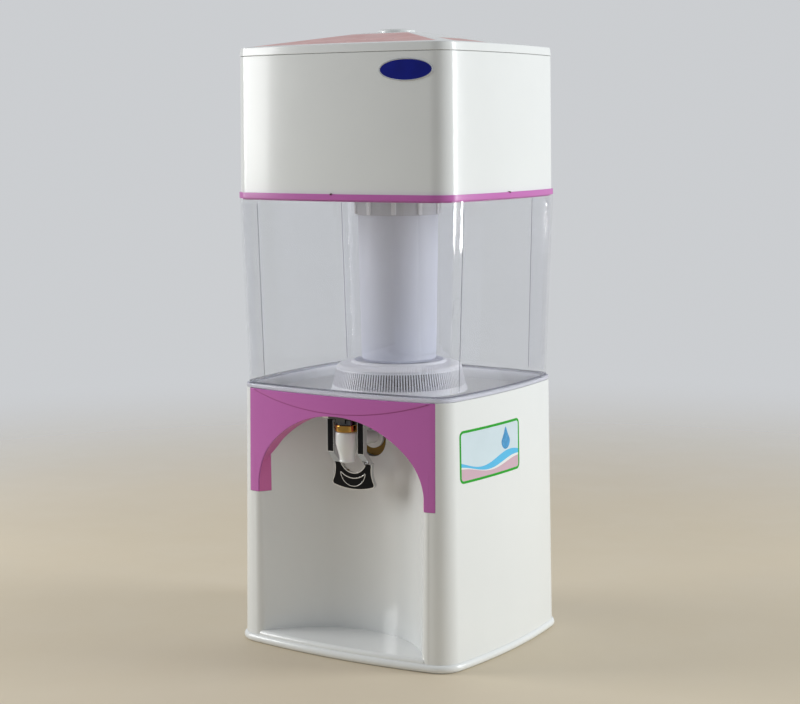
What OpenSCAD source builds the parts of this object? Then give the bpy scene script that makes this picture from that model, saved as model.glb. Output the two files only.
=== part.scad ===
// Countertop gravity water filter. A white stand with a round cup alcove and a pink arch
// carries a clear tank with a push tap. A white upper tank with its filter hangs over it,
// closed by a low hipped lid. Sizes are in millimetres. The front faces -Y, +Z is up and the
// origin lies under the middle of the foot.

/* [Plan outline] */
// Width over the foot, at mid side
body_w = 304.6; // [260:0.2:370]
// Depth over the foot, at mid side
body_d = 275.6; // [230:0.2:340]
// Corner radius of the foot
corner_r = 30; // [28:1:40]
// How far the front and back bow out beyond the corners
front_bow = 8.8; // [5:0.2:14]
// How far the sides bow out beyond the corners
side_bow = 7.3; // [4:0.1:12]

/* [Levels] */
// Height of the rounded foot
foot_h = 9; // [6:0.5:12]
// Top of the cup shelf
shelf_z = 14; // [12:0.5:20]
// Top of the stand, where the flange of the clear tank rests
stand_h = 292; // [260:1:350]
// Clear tank, from its flange to its rim
tank_h = 212; // [176:1:260]
// Pink band between the two tanks
band_h = 7; // [5:0.5:12]
// Upper tank above the band
upper_h = 149; // [124:1:180]
// Straight rim of the lid
rim_h = 9.5; // [7:0.5:14]
// Rise of the hipped lid above its rim
roof_h = 16.5; // [8:0.5:24]

/* [Insets from the foot outline] */
// Stand shell at the foot
shell_low = 3; // [1:0.1:5]
// Stand shell and tank flange at the top of the stand
shell_high = 7.7; // [4:0.1:9]
// Clear wall just above its flange
clear_low = 10.7; // [9:0.1:13]
// Clear wall at its rim, and the band
clear_high = 3; // [1:0.1:6]
// Upper tank above the band
upper_low = 5; // [4:0.1:8]
// Upper tank under the lid
upper_high = 6.4; // [4:0.1:10]

/* [Walls and gaps] */
// Wall of the stand and the upper tank
wall_t = 3; // [2:0.1:4]
// Wall of the front corners, which carry the arch
pillar_t = 5.5; // [4.5:0.1:6]
// Wall of the clear tank
clear_t = 2.8; // [2:0.1:4]
// Arch panel
panel_t = 2.4; // [1.6:0.1:3]
// Gap between pieces that lift apart
lift_gap = 0.4; // [0.3:0.1:1]
// Gap between pieces that are clipped or screwed together
fit_gap = 0.15; // [0.1:0.05:0.3]
// Radial play of the pin and the stem
run_gap = 0.05; // [0.02:0.01:0.1]

/* [Alcove and arch] */
// Depth of the alcove at mid width
alcove_depth = 73.8; // [60:0.2:90]
// Round inner edge of each pillar, at the foot outline
pillar_r = 14; // [13.6:0.1:18]
// Flat front left between the two round edges of a pillar
pillar_flat = 1; // [0.5:0.5:10]
// Width of the arch panel
panel_w = 246; // [200:1:250]
// Foot of the arch panel's legs
panel_z = 174.5; // [140:0.5:210]
// Half the span of the arch
arch_half = 110; // [90:1:116]
// Radius of the arch at its haunches
arch_side_r = 70; // [50:1:80]
// Height where the haunches begin
arch_spring = 183; // [160:1:200]
// Crown of the arch
arch_top = 269.3; // [230:0.1:275]
// Depth of the wrapped legs behind the front of the foot
return_d = 26.8; // [20:0.2:34]
// Depth of the return under the arch behind the front of the foot
arch_return = 33; // [27:0.2:36]
// Radius of the raised field above the arch
field_r = 380; // [300:5:460]
// Lowest point of the raised field
field_z = 271.8; // [262:0.1:280]
// Slot for the tap's shank in the alcove wall
slot_w = 39; // [36:0.5:44]

/* [Tap] */
// Tap axis behind the front of the foot
tap_in = 30.8; // [26:0.2:40]
// Mouth of the tap
tap_z = 216.5; // [190:0.5:230]
// Widest radius of the tap body
tap_r = 12.5; // [11.5:0.1:13]
// Radius of the mouth
mouth_r = 8.8; // [7:0.1:9.5]
// How far the union ring stands proud of the tap body
ring_over = 0.5; // [0.2:0.1:1.5]
// Lever pin ahead of the tap axis
pin_ahead = 9; // [7:0.5:11]
// Radius of the lever pin
pin_r = 2; // [1.5:0.1:2.5]
// Clear space between the two lever arms
yoke_w = 32; // [30:0.5:36]
// Width of a lever arm
arm_w = 8; // [6:0.5:10]
// Width of the paddle at its flared foot
paddle_w = 56; // [50:1:64]
// Height of the paddle
paddle_h = 31; // [26:0.5:36]
// Thickness of the paddle
paddle_t = 4.5; // [3.5:0.1:6]
// Round lower corners of the paddle
paddle_round = 4; // [2:0.5:6]
// Radius of the notch for the water stream in the paddle
notch_r = 17.5; // [14:0.5:20]
// Depth of the notch
notch_depth = 12; // [8:0.5:14]

/* [Filter] */
// Cartridge radius at its top
cart_top_r = 46; // [40:0.5:48]
// Cartridge radius at its foot
cart_low_r = 42.5; // [36:0.5:46]
// Gap from the tank floor to the cartridge's foot
cart_lift = 34; // [33:0.5:60]
// Ribbed collar that holds the cartridge
collar_r = 50; // [49:0.5:56]
// Height of the collar
collar_h = 22.4; // [16:0.2:30]
// Ribs on the collar
collar_ribs = 10; // [6:1:16]
// Ceramic dome radius
dome_r = 43; // [36:0.5:48]
// Straight part of the ceramic dome
dome_h = 55; // [40:1:70]
// Stone case radius at its foot
case_r = 78; // [70:0.5:84]
// Stone case radius at its shoulder
case_top_r = 71.5; // [64:0.5:78]
// Slits round the stone case
case_slits = 150; // [60:2:160]
// Width of a slit
slit_w = 1.3; // [1:0.1:2]

/* [Hidden] */
$fn = 96;
$tuck = 0;
eps = 0.01;
white = [0.93, 0.94, 0.94];
pink = [0.78, 0.5, 0.72];
clear = [0.8, 0.88, 0.92, 0.4];
chrome = [0.78, 0.79, 0.81];
gold = [0.84, 0.64, 0.3];
black = [0.06, 0.06, 0.07];
rubber = [0.35, 0.36, 0.38];

// Plan: four long arcs and four corner arcs, tangent where they meet
corner_x = body_w / 2 - corner_r - side_bow;
corner_y = body_d / 2 - corner_r - front_bow;
front_r = long_r(corner_x, corner_r + front_bow);
side_r = long_r(corner_y, corner_r + side_bow);
front_c = front_r - body_d / 2;
side_c = side_r - body_w / 2;
front_a = atan(corner_x / (front_c + corner_y));
side_a = atan(corner_y / (side_c + corner_x));

// Alcove: one hollow arc, tangent to the round inner edges of the pillars
edge_x = corner_x - pillar_flat;
edge_y = front_c - sqrt(pow(front_r - pillar_r, 2) - edge_x * edge_x);
back_y = alcove_depth - body_d / 2 + pillar_r;
alcove_c = (edge_x * edge_x + edge_y * edge_y - back_y * back_y) / (2 * (edge_y - back_y));
alcove_r = back_y - pillar_r - alcove_c;
edge_a = atan(edge_x / (front_c - edge_y));
alcove_a = atan((edge_y - alcove_c) / edge_x);

// Each arc: centre x, centre y, radius, first angle, last angle, 1 for round or -1 for hollow
FRONT = [[0, front_c, front_r, 270 - front_a, 270 + front_a, 1]];
FRONT_CORNERS = [
    [corner_x, -corner_y, corner_r, 270 + front_a, 360 - side_a, 1],
    [-corner_x, -corner_y, corner_r, 180 + side_a, 270 - front_a, 1]
];
SIDES_AND_BACK = [
    [-side_c, 0, side_r, -side_a, side_a, 1],
    [corner_x, corner_y, corner_r, side_a, 90 - front_a, 1],
    [0, -front_c, front_r, 90 - front_a, 90 + front_a, 1],
    [-corner_x, corner_y, corner_r, 90 + front_a, 180 - side_a, 1],
    [side_c, 0, side_r, 180 - side_a, 180 + side_a, 1]
];
PLAN = concat(FRONT, FRONT_CORNERS, SIDES_AND_BACK);
PILLAR_FLATS = [
    [0, front_c, front_r, 270 + edge_a, 270 + front_a, 1],
    [0, front_c, front_r, 270 - front_a, 270 - edge_a, 1]
];
PILLAR_EDGES = [
    [edge_x, edge_y, pillar_r, 180 + alcove_a, 270 + edge_a, 1],
    [-edge_x, edge_y, pillar_r, 270 - edge_a, 360 - alcove_a, 1]
];
ALCOVE = [[0, alcove_c, alcove_r, alcove_a, 180 - alcove_a, -1]];

// Heights of the stack
tank_z = stand_h + lift_gap;
flange_top = stand_h + 4.5;
floor_z = stand_h - 11;
floor_t = 3;
bead_r = foot_h / 2 + 0.3;
alcove_top = floor_z - 5;
rim_z = stand_h + tank_h;
band_z = rim_z + lift_gap;
band_top = rim_z + band_h;
upper_z = band_z + 3.2;
upper_floor = upper_z + wall_t;
upper_top = rim_z + band_h + upper_h;
lid_z = upper_top + lift_gap;
lid_rim = upper_top + rim_h;
roof_z = lid_rim + roof_h;

// Arch: two haunch arcs and a crown arc
rise = arch_top - arch_spring;
haunch_x = arch_half - arch_side_r;
crown_r = (haunch_x * haunch_x + rise * rise - arch_side_r * arch_side_r) / (2 * (rise - arch_side_r));
crown_z = arch_top - crown_r;
crown_a = atan(haunch_x / (arch_spring - crown_z));
panel_top = stand_h - 0.5;
leg_top = arch_spring + 34.5;
return_y = return_d - body_d / 2;

// Tap
tap_y = tap_in - body_d / 2;
shank_z = tap_z + 21.5;
shank_r = 8;
slot_z = shank_z - 4;
disc_r = slot_w / 2 - 5.5;
neck_z = tap_z + 34;
ring_h = 8;
union_r = tap_r + ring_over;
bonnet_top = neck_z + 16;
pin_y = tap_y - pin_ahead;
pin_z = bonnet_top + 1.5;
finger_z = pin_z + 2;
finger_r = 2.2;
head_z = finger_z + finger_r + 0.3;
stem_r = 2.2;
wall_y = alcove_c + alcove_r + shell_low + (shell_high - shell_low) * (shank_z / stand_h);
elbow_y = wall_y + 37;
socket_y = wall_y + 7;
arm_y = tap_y - 3;
arm_d = 6.5;
paddle_y = tap_y + 11.5;
paddle_z = tap_z - 2.5;
arm_low = tap_z + 9.5;

// Filter and stone case
cart_z = floor_z + floor_t + cart_lift;
seal_z = upper_z - 1.2;
collar_z = seal_z - collar_h;
plate_z = floor_z + floor_t + 4.4;
shoulder_z = floor_z + floor_t + 27;

// Radius of a long arc that ends tangent to the corner arcs
function long_r(half, reach) = (half * half + reach * reach - corner_r * corner_r) / (2 * (reach - corner_r));

// Point at a radius and angle from a centre
function at(c, r, a) = [c[0] + r * cos(a), c[1] + r * sin(a)];

// Inset of the stand's skin at a height
function skin(z) = shell_low + (shell_high - shell_low) * (z - foot_h) / (stand_h - foot_h);

// Smooth step from 0 to 1
function ease(t) = t * t * (3 - 2 * t);

// Long arcs lap a little over the short ones, and short arcs are tucked in, so that they fuse
function is_long(a) = a[2] > 2 * corner_r;
function lap(a) = is_long(a) ? 0.6 / a[2] * 180 / PI : 0;
function tuck(a) = is_long(a) ? 0 : 0.012;

// Carries a profile round a list of arcs: x is the distance outside the foot outline, y the height
module sweep(arcs)
    for (a = arcs)
        let ($tuck = tuck(a))
            translate([a[0], a[1], 0])
                rotate(a[3] - lap(a))
                    rotate_extrude(angle = a[4] - a[3] + 2 * lap(a), $fn = 256)
                        translate([a[2], 0])
                            mirror([a[5] < 0 ? 1 : 0, 0])
                                children();

// Slanted strip of wall: from inset i0 at z0 to inset i1 at z1, t thick
module strip(i0, z0, i1, z1, t)
    polygon([
        [-i0 - $tuck, z0 + $tuck], [-i1 - $tuck, z1 - $tuck],
        [-i1 - t + $tuck, z1 - $tuck], [-i0 - t + $tuck, z0 + $tuck]
    ]);

// Strip of the stand's skin between two heights, from g outside it to t inside it
module skin_strip(z0, z1, t, g = 0)
    strip(skin(z0) - g, z0, skin(z1) - g, z1, t + g);

// Straight block of a profile, from inset i0 to inset i1
module ring_block(i0, i1, z0, z1)
    translate([-i1 + $tuck, z0 + $tuck])
        square([i1 - i0 - 2 * $tuck, z1 - z0 - 2 * $tuck]);

// Wedge of the plan that belongs to one arc
module fan(a) {
    c = [a[0], a[1]];
    far = a[2] + 20;
    a0 = a[3] - 2.5 * lap(a);
    a1 = a[4] + 2.5 * lap(a);
    inner = a[2] - corner_r - 5;
    polygon(concat(
        is_long(a) ? [at(c, inner, a1), at(c, inner, a0)] : [c],
        [at(c, far, a0), at(c, far / cos((a1 - a0) / 2), (a0 + a1) / 2), at(c, far, a1)]
    ));
}

// Plan of the body, inset from the foot outline
module plan(inset) {
    polygon([[corner_x, corner_y], [-corner_x, corner_y], [-corner_x, -corner_y], [corner_x, -corner_y]]);
    for (a = PLAN)
        intersection() {
            translate([a[0], a[1]])
                circle(a[2] - inset - tuck(a), $fn = is_long(a) ? 360 : 72);
            fan(a);
        }
}

// Plate with the body's plan
module plate(inset, z, h)
    translate([0, 0, z])
        linear_extrude(h)
            plan(inset);

// Plan of the alcove, with the round pillar edges
module alcove_plan(inset) {
    c = [0, alcove_c];
    far = 2 * alcove_r;
    a0 = alcove_a - lap(ALCOVE[0]);
    intersection() {
        translate(c)
            circle(alcove_r + inset, $fn = 256);
        polygon([c, at(c, far, a0), [0, far], at(c, far, 180 - a0)]);
    }
    difference() {
        polygon([
            c, [edge_x, edge_y], at([0, front_c], front_r + 20, 270 + edge_a),
            at([0, front_c], front_r + 20, 270 - edge_a), [-edge_x, edge_y]
        ]);
        for (s = [-1, 1])
            translate([s * edge_x, edge_y])
                circle(pillar_r - inset - tuck(PILLAR_EDGES[0]));
    }
}

// Sector of a circle in the arch, between two angles
module sector(c, r, a0, a1)
    intersection() {
        translate(c)
            circle(r, $fn = 180);
        polygon([c, at(c, 2 * r, a0), at(c, 3 * r, (a0 + a1) / 2), at(c, 2 * r, a1)]);
    }

// Opening of the arch, seen from the front
module arch_plan(grow) {
    over = 0.6 / crown_r * 180 / PI;
    haunch_r = arch_side_r + grow - 0.012;
    translate([-arch_half - grow, panel_z - 20])
        square([2 * (arch_half + grow), arch_spring - panel_z + 20.6]);
    sector([haunch_x, arch_spring], haunch_r, 0, 90 - crown_a);
    sector([-haunch_x, arch_spring], haunch_r, 90 + crown_a, 180);
    sector([0, crown_z], crown_r + grow, 90 - crown_a - over, 90 + crown_a + over);
}

// Extrudes a front view backwards from y0 to y1
module front_view(y0, y1)
    translate([0, y1, 0])
        rotate([90, 0, 0])
            linear_extrude(y1 - y0)
                children();

// Extrudes a side view, drawn as y and z, from x0 to x1
module side_view(x0, x1)
    translate([x0, 0, 0])
        rotate([90, 0, 90])
            linear_extrude(x1 - x0)
                children();

// Round bar along Y
module bar_y(r, y0, y1, z)
    translate([0, y0, z])
        rotate([-90, 0, 0])
            cylinder(h = y1 - y0, r = r);

// Round bar along X
module bar_x(r, x0, x1, y, z)
    translate([x0, y, z])
        rotate([0, 90, 0])
            cylinder(h = x1 - x0, r = r);

// Everything in front of the back edge of the arch's return
module before_return(gap)
    translate([-body_w, return_y + gap - body_d, 0])
        cube([2 * body_w, body_d, 2 * stand_h]);

// Slice of the front that is as wide as the panel
module panel_slice(gap)
    translate([-panel_w / 2 - gap, -body_d, 0])
        cube([panel_w + 2 * gap, body_d, 2 * stand_h]);

// Places of the base screws
SCREWS = [
    [body_w / 2 - 18.5, 45], [body_w / 2 - 18.5, -45], [-body_w / 2 + 18.5, 45], [-body_w / 2 + 18.5, -45],
    [60, body_d / 2 - 19.5], [-60, body_d / 2 - 19.5]
];

// Stand: drafted shell with the alcove, recessed for the arch and slotted for the shank
module stand_shell()
    color(white)
        difference() {
            union() {
                sweep(SIDES_AND_BACK)
                    skin_strip(foot_h, stand_h, wall_t);
                sweep(concat(FRONT_CORNERS, PILLAR_FLATS))
                    skin_strip(foot_h, stand_h, pillar_t);
                sweep(PILLAR_EDGES)
                    skin_strip(foot_h, alcove_top, pillar_t);
                sweep(ALCOVE)
                    skin_strip(foot_h, alcove_top, wall_t);
                for (s = SCREWS)
                    screw_post(s);
            }
            for (s = SCREWS)
                translate([s[0], s[1], 0])
                    cylinder(h = 36, r = 1.9 + fit_gap);
            intersection() {
                sweep(concat(FRONT, FRONT_CORNERS))
                    skin_strip(panel_z - fit_gap, stand_h + 1, panel_t + fit_gap, 3);
                panel_slice(fit_gap);
            }
            intersection() {
                sweep(concat(PILLAR_EDGES, ALCOVE))
                    skin_strip(panel_z - fit_gap, leg_top + fit_gap, panel_t + fit_gap, 2);
                before_return(fit_gap);
            }
            front_view(wall_y - 20, wall_y + 20)
                union() {
                    translate([0, slot_z])
                        circle(slot_w / 2);
                    translate([-slot_w / 2, slot_z])
                        square([slot_w, stand_h]);
                }
        }

// Post for a base screw, with the web that ties it to the wall
module screw_post(s)
    translate([s[0], s[1], 0])
        rotate(abs(s[0]) > body_w / 3 ? (s[0] > 0 ? 0 : 180) : 90) {
            translate([0, 0, 5.2])
                cylinder(h = 44, r = 4.5);
            translate([0, -1.2, 19])
                cube([12.2, 2.4, 30]);
        }

// Foot: rounded bead, floor and the raised cup shelf
module base_tray()
    color(white) {
        sweep(PLAN) {
            union() {
                ring_block(bead_r, 12, 0, foot_h);
                intersection() {
                    translate([-bead_r, foot_h / 2])
                        circle(bead_r - $tuck);
                    ring_block(0, bead_r + 1, 0, foot_h);
                }
            }
        }
        difference() {
            sweep(SIDES_AND_BACK)
                ring_block(shell_low + wall_t + 0.5, shell_low + wall_t + 2.9, foot_h - 1, foot_h + 8);
            translate([-body_w / 2, -body_d / 2, 0])
                cube([body_w, body_d / 2 - corner_y + 4, 3 * foot_h]);
        }
        difference() {
            plate(11, 2, 3);
            translate([0, 0, 1])
                linear_extrude(6)
                    shelf_plan(2.5);
            for (s = SCREWS)
                translate([s[0], s[1], 0])
                    cylinder(h = 8, r = 2.3);
        }
        difference() {
            translate([0, 0, 3])
                linear_extrude(shelf_z - 3)
                    shelf_plan(0);
            translate([0, 0, 1])
                linear_extrude(shelf_z - wall_t - 1)
                    shelf_plan(2.5);
        }
    }

// Plan of the cup shelf, standing clear of the shell
module shelf_plan(inset)
    intersection() {
        plan(shell_low + 0.3 + inset);
        alcove_plan(shell_low - 0.3 - inset);
    }

// Screws that hold the foot to the shell
module base_screws()
    color(chrome)
        for (s = SCREWS)
            translate([s[0], s[1], 0]) {
                translate([0, 0, 0.3])
                    cylinder(h = 1.7, r = 3.6);
                translate([0, 0, 1])
                    cylinder(h = 29, r = 1.9);
            }

// Arch: bowed front plate with a raised field, a return under the arch and legs wrapped on the pillars
module arch_panel()
    color(pink) {
        difference() {
            intersection() {
                union() {
                    sweep(concat(FRONT, FRONT_CORNERS))
                        skin_strip(panel_z, panel_top, panel_t);
                    intersection() {
                        sweep(FRONT)
                            skin_strip(field_z - 5, panel_top, panel_t, 0.5);
                        translate([0, 0, field_z + field_r])
                            rotate([90, 0, 0])
                                cylinder(h = body_d, r = field_r, $fn = 256);
                    }
                }
                panel_slice(0);
            }
            front_view(-body_d, 0)
                arch_plan(0);
        }
        difference() {
            intersection() {
                sweep(FRONT)
                    skin_strip(arch_spring + 13, arch_top + panel_t + 1, 2 * arch_return);
                before_return(arch_return - return_d);
                front_view(-body_d, 0)
                    arch_plan(panel_t);
            }
            front_view(-body_d, 1)
                arch_plan(0);
            sweep(PILLAR_EDGES)
                skin_strip(panel_z, stand_h, pillar_t, fit_gap);
            sweep(ALCOVE)
                skin_strip(panel_z, stand_h, 60, fit_gap);
            translate([0, tap_y, 0])
                cylinder(h = 2 * stand_h, r = yoke_w);
        }
        intersection() {
            sweep(concat(PILLAR_EDGES, ALCOVE))
                skin_strip(panel_z, leg_top, panel_t);
            before_return(0);
        }
    }

// Clear tank: drafted wall on a flange, with the floor sunk into the stand
module clear_tank()
    color(clear)
        difference() {
            union() {
                sweep(PLAN) {
                    union() {
                        strip(clear_low, flange_top - 1, clear_high, rim_z, clear_t);
                        ring_block(shell_high, pillar_t + shell_high + 4, tank_z, flange_top);
                        ring_block(pillar_t + shell_high + 1, pillar_t + shell_high + 4, floor_z, flange_top - 1);
                    }
                }
                plate(pillar_t + shell_high + 2, floor_z + 0.2, floor_t - 0.2);
            }
            translate([0, elbow_y, floor_z - 1])
                cylinder(h = floor_t + 2, r = shank_r + fit_gap);
        }

// Outlet: elbow under the tank floor, open towards the tap
module outlet_elbow()
    color(white)
        difference() {
            union() {
                translate([0, elbow_y, shank_z])
                    cylinder(h = floor_z - 3 - shank_z, r = 11.2);
                translate([0, elbow_y, shank_z])
                    sphere(12.4);
                bar_y(11.8, socket_y, elbow_y, shank_z);
                translate([0, elbow_y, floor_z - 3.2])
                    cylinder(h = 1.8, r = 15);
                translate([0, elbow_y, floor_z - 3])
                    cylinder(h = floor_t + 6.8, r = shank_r);
            }
            translate([0, elbow_y, shank_z])
                cylinder(h = 80, r = 5);
            bar_y(5, socket_y, elbow_y, shank_z);
            bar_y(shank_r + fit_gap, socket_y - 1, socket_y + 17, shank_z);
        }

// Soft washer between the elbow and the tank floor
module outlet_washer()
    color(rubber)
        difference() {
            translate([0, elbow_y, floor_z - 1.35])
                cylinder(h = 1.3, r = 14);
            translate([0, elbow_y, floor_z - 2])
                cylinder(h = 3, r = shank_r + fit_gap);
        }

// Hexagon nut on the elbow, inside the tank
module outlet_nut()
    color(white)
        difference() {
            translate([0, elbow_y, floor_z + floor_t + 0.05])
                cylinder(h = 3.6, r = 13.5, $fn = 6);
            translate([0, elbow_y, floor_z])
                cylinder(h = 10, r = shank_r + fit_gap);
        }

// Round collar on the shank, seen in the slot
module shank_collar()
    color(white)
        difference() {
            bar_y(disc_r, wall_y + 1, socket_y - 1.7, shank_z);
            bar_y(shank_r + fit_gap, wall_y - 8, socket_y, shank_z);
        }

// Seal between the collar and the elbow
module shank_seal()
    color(rubber)
        difference() {
            bar_y(11, socket_y - 1.6, socket_y - 0.1, shank_z);
            bar_y(shank_r + fit_gap, wall_y, socket_y + 1, shank_z);
        }

// Tap body: waisted spout with the valve chamber and the shank
module tap_body()
    color(white)
        difference() {
            union() {
                translate([0, tap_y, 0])
                    rotate_extrude()
                        polygon(concat(
                            [[0, tap_z], [mouth_r - 0.3, tap_z], [mouth_r, tap_z + 0.6], [mouth_r, tap_z + 1.4]],
                            [for (i = [0:10])
                                [mouth_r - 0.5 + (tap_r - mouth_r + 0.5) * ease(i / 10), tap_z + 2.5 + 21 * i / 10]],
                            [[tap_r, neck_z - 1.8], [tap_r - 0.8, neck_z - 0.2], [tap_r - 2, neck_z - 0.2], [tap_r - 2, neck_z + 5.5], [0, neck_z + 5.5]]
                        ));
                bar_y(shank_r, tap_y + 6, socket_y + 16, shank_z);
            }
            translate([0, tap_y, 0])
                rotate_extrude()
                    polygon([[0, tap_z - 1], [5.2, tap_z - 1], [5.2, tap_z + 13], [8.6, tap_z + 16.5],
                        [8.6, neck_z + 7], [0, neck_z + 7]]);
            bar_y(4.6, tap_y, socket_y + 20, shank_z);
        }

// Gold union ring between the body and the bonnet
module tap_ring()
    color(gold)
        translate([0, tap_y, 0])
            rotate_extrude()
                polygon([
                    [tap_r - 2 + fit_gap, neck_z], [union_r - 0.8, neck_z], [union_r, neck_z + 0.8],
                    [union_r, neck_z + ring_h - 0.8], [union_r - 0.8, neck_z + ring_h], [tap_r - 2 + fit_gap, neck_z + ring_h]
                ]);

// Bonnet: chrome cap with the boss for the lever pin
module tap_bonnet()
    color(chrome)
        difference() {
            union() {
                translate([0, tap_y, 0])
                    rotate_extrude()
                        polygon([
                            [0, neck_z + 5.6], [tap_r - 2.1, neck_z + 5.6], [tap_r - 2.1, neck_z + ring_h + 0.1],
                            [tap_r - 0.9, neck_z + ring_h + 0.1], [tap_r - 0.9, bonnet_top - 1.5],
                            [tap_r - 2.4, bonnet_top], [0, bonnet_top]
                        ]);
                bar_x(4.2, -yoke_w / 2 + 0.5, yoke_w / 2 - 0.5, pin_y, pin_z);
                translate([-6, pin_y - 3.5, bonnet_top - 6])
                    cube([12, 7, 6]);
            }
            translate([0, tap_y, neck_z])
                cylinder(h = bonnet_top - 3 - neck_z, r = 7.6);
            translate([0, tap_y, neck_z])
                cylinder(h = 40, r = stem_r + run_gap);
            bar_x(pin_r + run_gap, -yoke_w, yoke_w, pin_y, pin_z);
        }

// Pin that the lever turns on
module lever_pin()
    color(chrome)
        bar_x(pin_r, -yoke_w / 2 - arm_w - 0.6, yoke_w / 2 + arm_w + 0.6, pin_y, pin_z);

// Stem that the lever lifts, with its head and spring seat
module tap_stem()
    color(chrome)
        translate([0, tap_y, 0]) {
            translate([0, 0, tap_z + 15])
                cylinder(h = head_z + 2 - tap_z - 15, r = stem_r);
            translate([0, 0, tap_z + 20])
                cylinder(h = 1.6, r = 6.4);
            translate([0, 0, head_z])
                cylinder(h = 3, r = 6);
        }

// Soft valve plug on the foot of the stem
module valve_seal()
    color(rubber)
        translate([0, tap_y, 0])
            difference() {
                union() {
                    translate([0, 0, tap_z + 13.2])
                        cylinder(h = 2.6, r1 = 4.9, r2 = 7.4);
                    translate([0, 0, tap_z + 15.8])
                        cylinder(h = 4.15, r = 7.4);
                }
                translate([0, 0, tap_z + 15 - fit_gap])
                    cylinder(h = 10, r = stem_r + run_gap);
            }

// Spring that closes the valve
module tap_spring()
    color(chrome)
        translate([0, tap_y, tap_z + 21.7])
            linear_extrude(bonnet_top - 3.1 - tap_z - 21.7, twist = -360 * 6, slices = 108, $fn = 8)
                translate([5, 0])
                    circle(0.8);

// Side view of one lever arm: eye, arm and the step back to the paddle
module arm_view() {
    polygon([
        [arm_y + arm_d, arm_low + 2], [arm_y + arm_d, pin_z + 4], [pin_y, pin_z + 4.1],
        [pin_y - 4.1, pin_z], [pin_y, pin_z - 4.1], [arm_y, pin_z - 5], [arm_y, arm_low + 0.2],
        [paddle_y, paddle_z - 3], [paddle_y + paddle_t, paddle_z]
    ]);
    translate([pin_y, pin_z])
        circle(4.2);
}

// Front of the paddle: flared foot with round corners, waisted sides and the notch for the stream
module paddle_view(inset) {
    low = paddle_z - paddle_h;
    foot_r = 90;
    waist_r = 30;
    waist_z = paddle_z - 8;
    heel_x = paddle_w / 2 - paddle_round;
    heel_z = low + foot_r - sqrt(pow(foot_r - paddle_round, 2) - heel_x * heel_x);
    waist_x = heel_x + sqrt(pow(waist_r + paddle_round, 2) - pow(waist_z - heel_z, 2));
    foot_a = atan2(heel_z - low - foot_r, heel_x);
    waist_a = atan2(waist_z - heel_z, waist_x - heel_x);
    difference() {
        intersection() {
            translate([-paddle_w / 2 + inset, low])
                square([paddle_w - 2 * inset, paddle_h - inset]);
            translate([0, low + foot_r])
                circle(foot_r - inset, $fn = 256);
        }
        for (s = [-1, 1]) {
            translate([s * waist_x, waist_z])
                circle(waist_r + inset);
            difference() {
                polygon([
                    [s * heel_x, heel_z], [s * (heel_x + 20 * cos(waist_a)), heel_z + 20 * sin(waist_a)],
                    [s * (heel_x + 20), heel_z - 20], [s * (heel_x + 20 * cos(foot_a)), heel_z + 20 * sin(foot_a)]
                ]);
                translate([s * heel_x, heel_z])
                    circle(paddle_round - inset);
            }
        }
        translate([0, paddle_z - notch_depth + notch_r])
            circle(notch_r + inset);
    }
}

// Lever: two arms on the pin, the fingers that lift the stem and the paddle
module lever_frame()
    color(chrome)
        difference() {
            union() {
                for (s = [-1, 1]) {
                    side_view(s > 0 ? yoke_w / 2 : -yoke_w / 2 - arm_w, s > 0 ? yoke_w / 2 + arm_w : -yoke_w / 2)
                        arm_view();
                    bar_x(finger_r, s > 0 ? 3 : -yoke_w / 2 - 1, s > 0 ? yoke_w / 2 + 1 : -3, tap_y, finger_z);
                }
                front_view(paddle_y, paddle_y + paddle_t)
                    paddle_view(0);
            }
            bar_x(pin_r + run_gap, -body_w, body_w, pin_y, pin_z);
            front_view(paddle_y - 5, paddle_y + 0.9)
                paddle_view(0.9);
            for (s = [-1, 1])
                front_view(arm_y - 5, arm_y + 0.6)
                    inlay_view(s, 0.4);
        }

// Front of an arm inlay
module inlay_view(s, border)
    translate([s * (yoke_w + arm_w) / 2 - arm_w / 2 + border, arm_low + 0.6 + border])
        square([arm_w - 2 * border, pin_z - 6 - arm_low - 2 * border]);

// Black inlays on the arms
module arm_inlays()
    color(black)
        for (s = [-1, 1])
            front_view(arm_y - 0.25, arm_y + 0.55)
                inlay_view(s, 0.5);

// Black face of the paddle
module paddle_inlay()
    color(black)
        front_view(paddle_y - 0.3, paddle_y + 0.85)
            paddle_view(1.05);

// Bright crescent under the notch: a deep and a shallow line that meet at their ends
module paddle_trim()
    color(chrome)
        front_view(paddle_y - 0.75, paddle_y - 0.32)
            difference() {
                union() {
                    line_ring(paddle_z - 10.4, notch_r - 0.9, 0.8);
                    line_ring(paddle_z + 6.3, notch_r + 6.8, 1.1);
                }
                translate([-50, paddle_z - notch_depth])
                    square(100);
            }

// Thin ring in the front view
module line_ring(z, r, w)
    translate([0, z])
        difference() {
            circle(r + w / 2);
            circle(r - w / 2);
        }

// Stone case: slit wall with a raised plate
module stone_case()
    color(white)
        difference() {
            rotate_extrude()
                polygon([
                    [case_r, floor_z + floor_t + 0.05], [case_top_r, shoulder_z], [case_top_r - 2.4, shoulder_z],
                    [case_r - 3.9, plate_z + 2], [0, plate_z + 2], [0, plate_z],
                    [case_r - 3.4, plate_z], [case_r - 2.4, floor_z + floor_t + 0.05]
                ]);
            for (i = [0:case_slits - 1])
                rotate(360 * i / case_slits)
                    translate([case_top_r - 6, -slit_w / 2, plate_z + 3])
                        cube([16, slit_w, shoulder_z - plate_z - 6]);
        }

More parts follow.
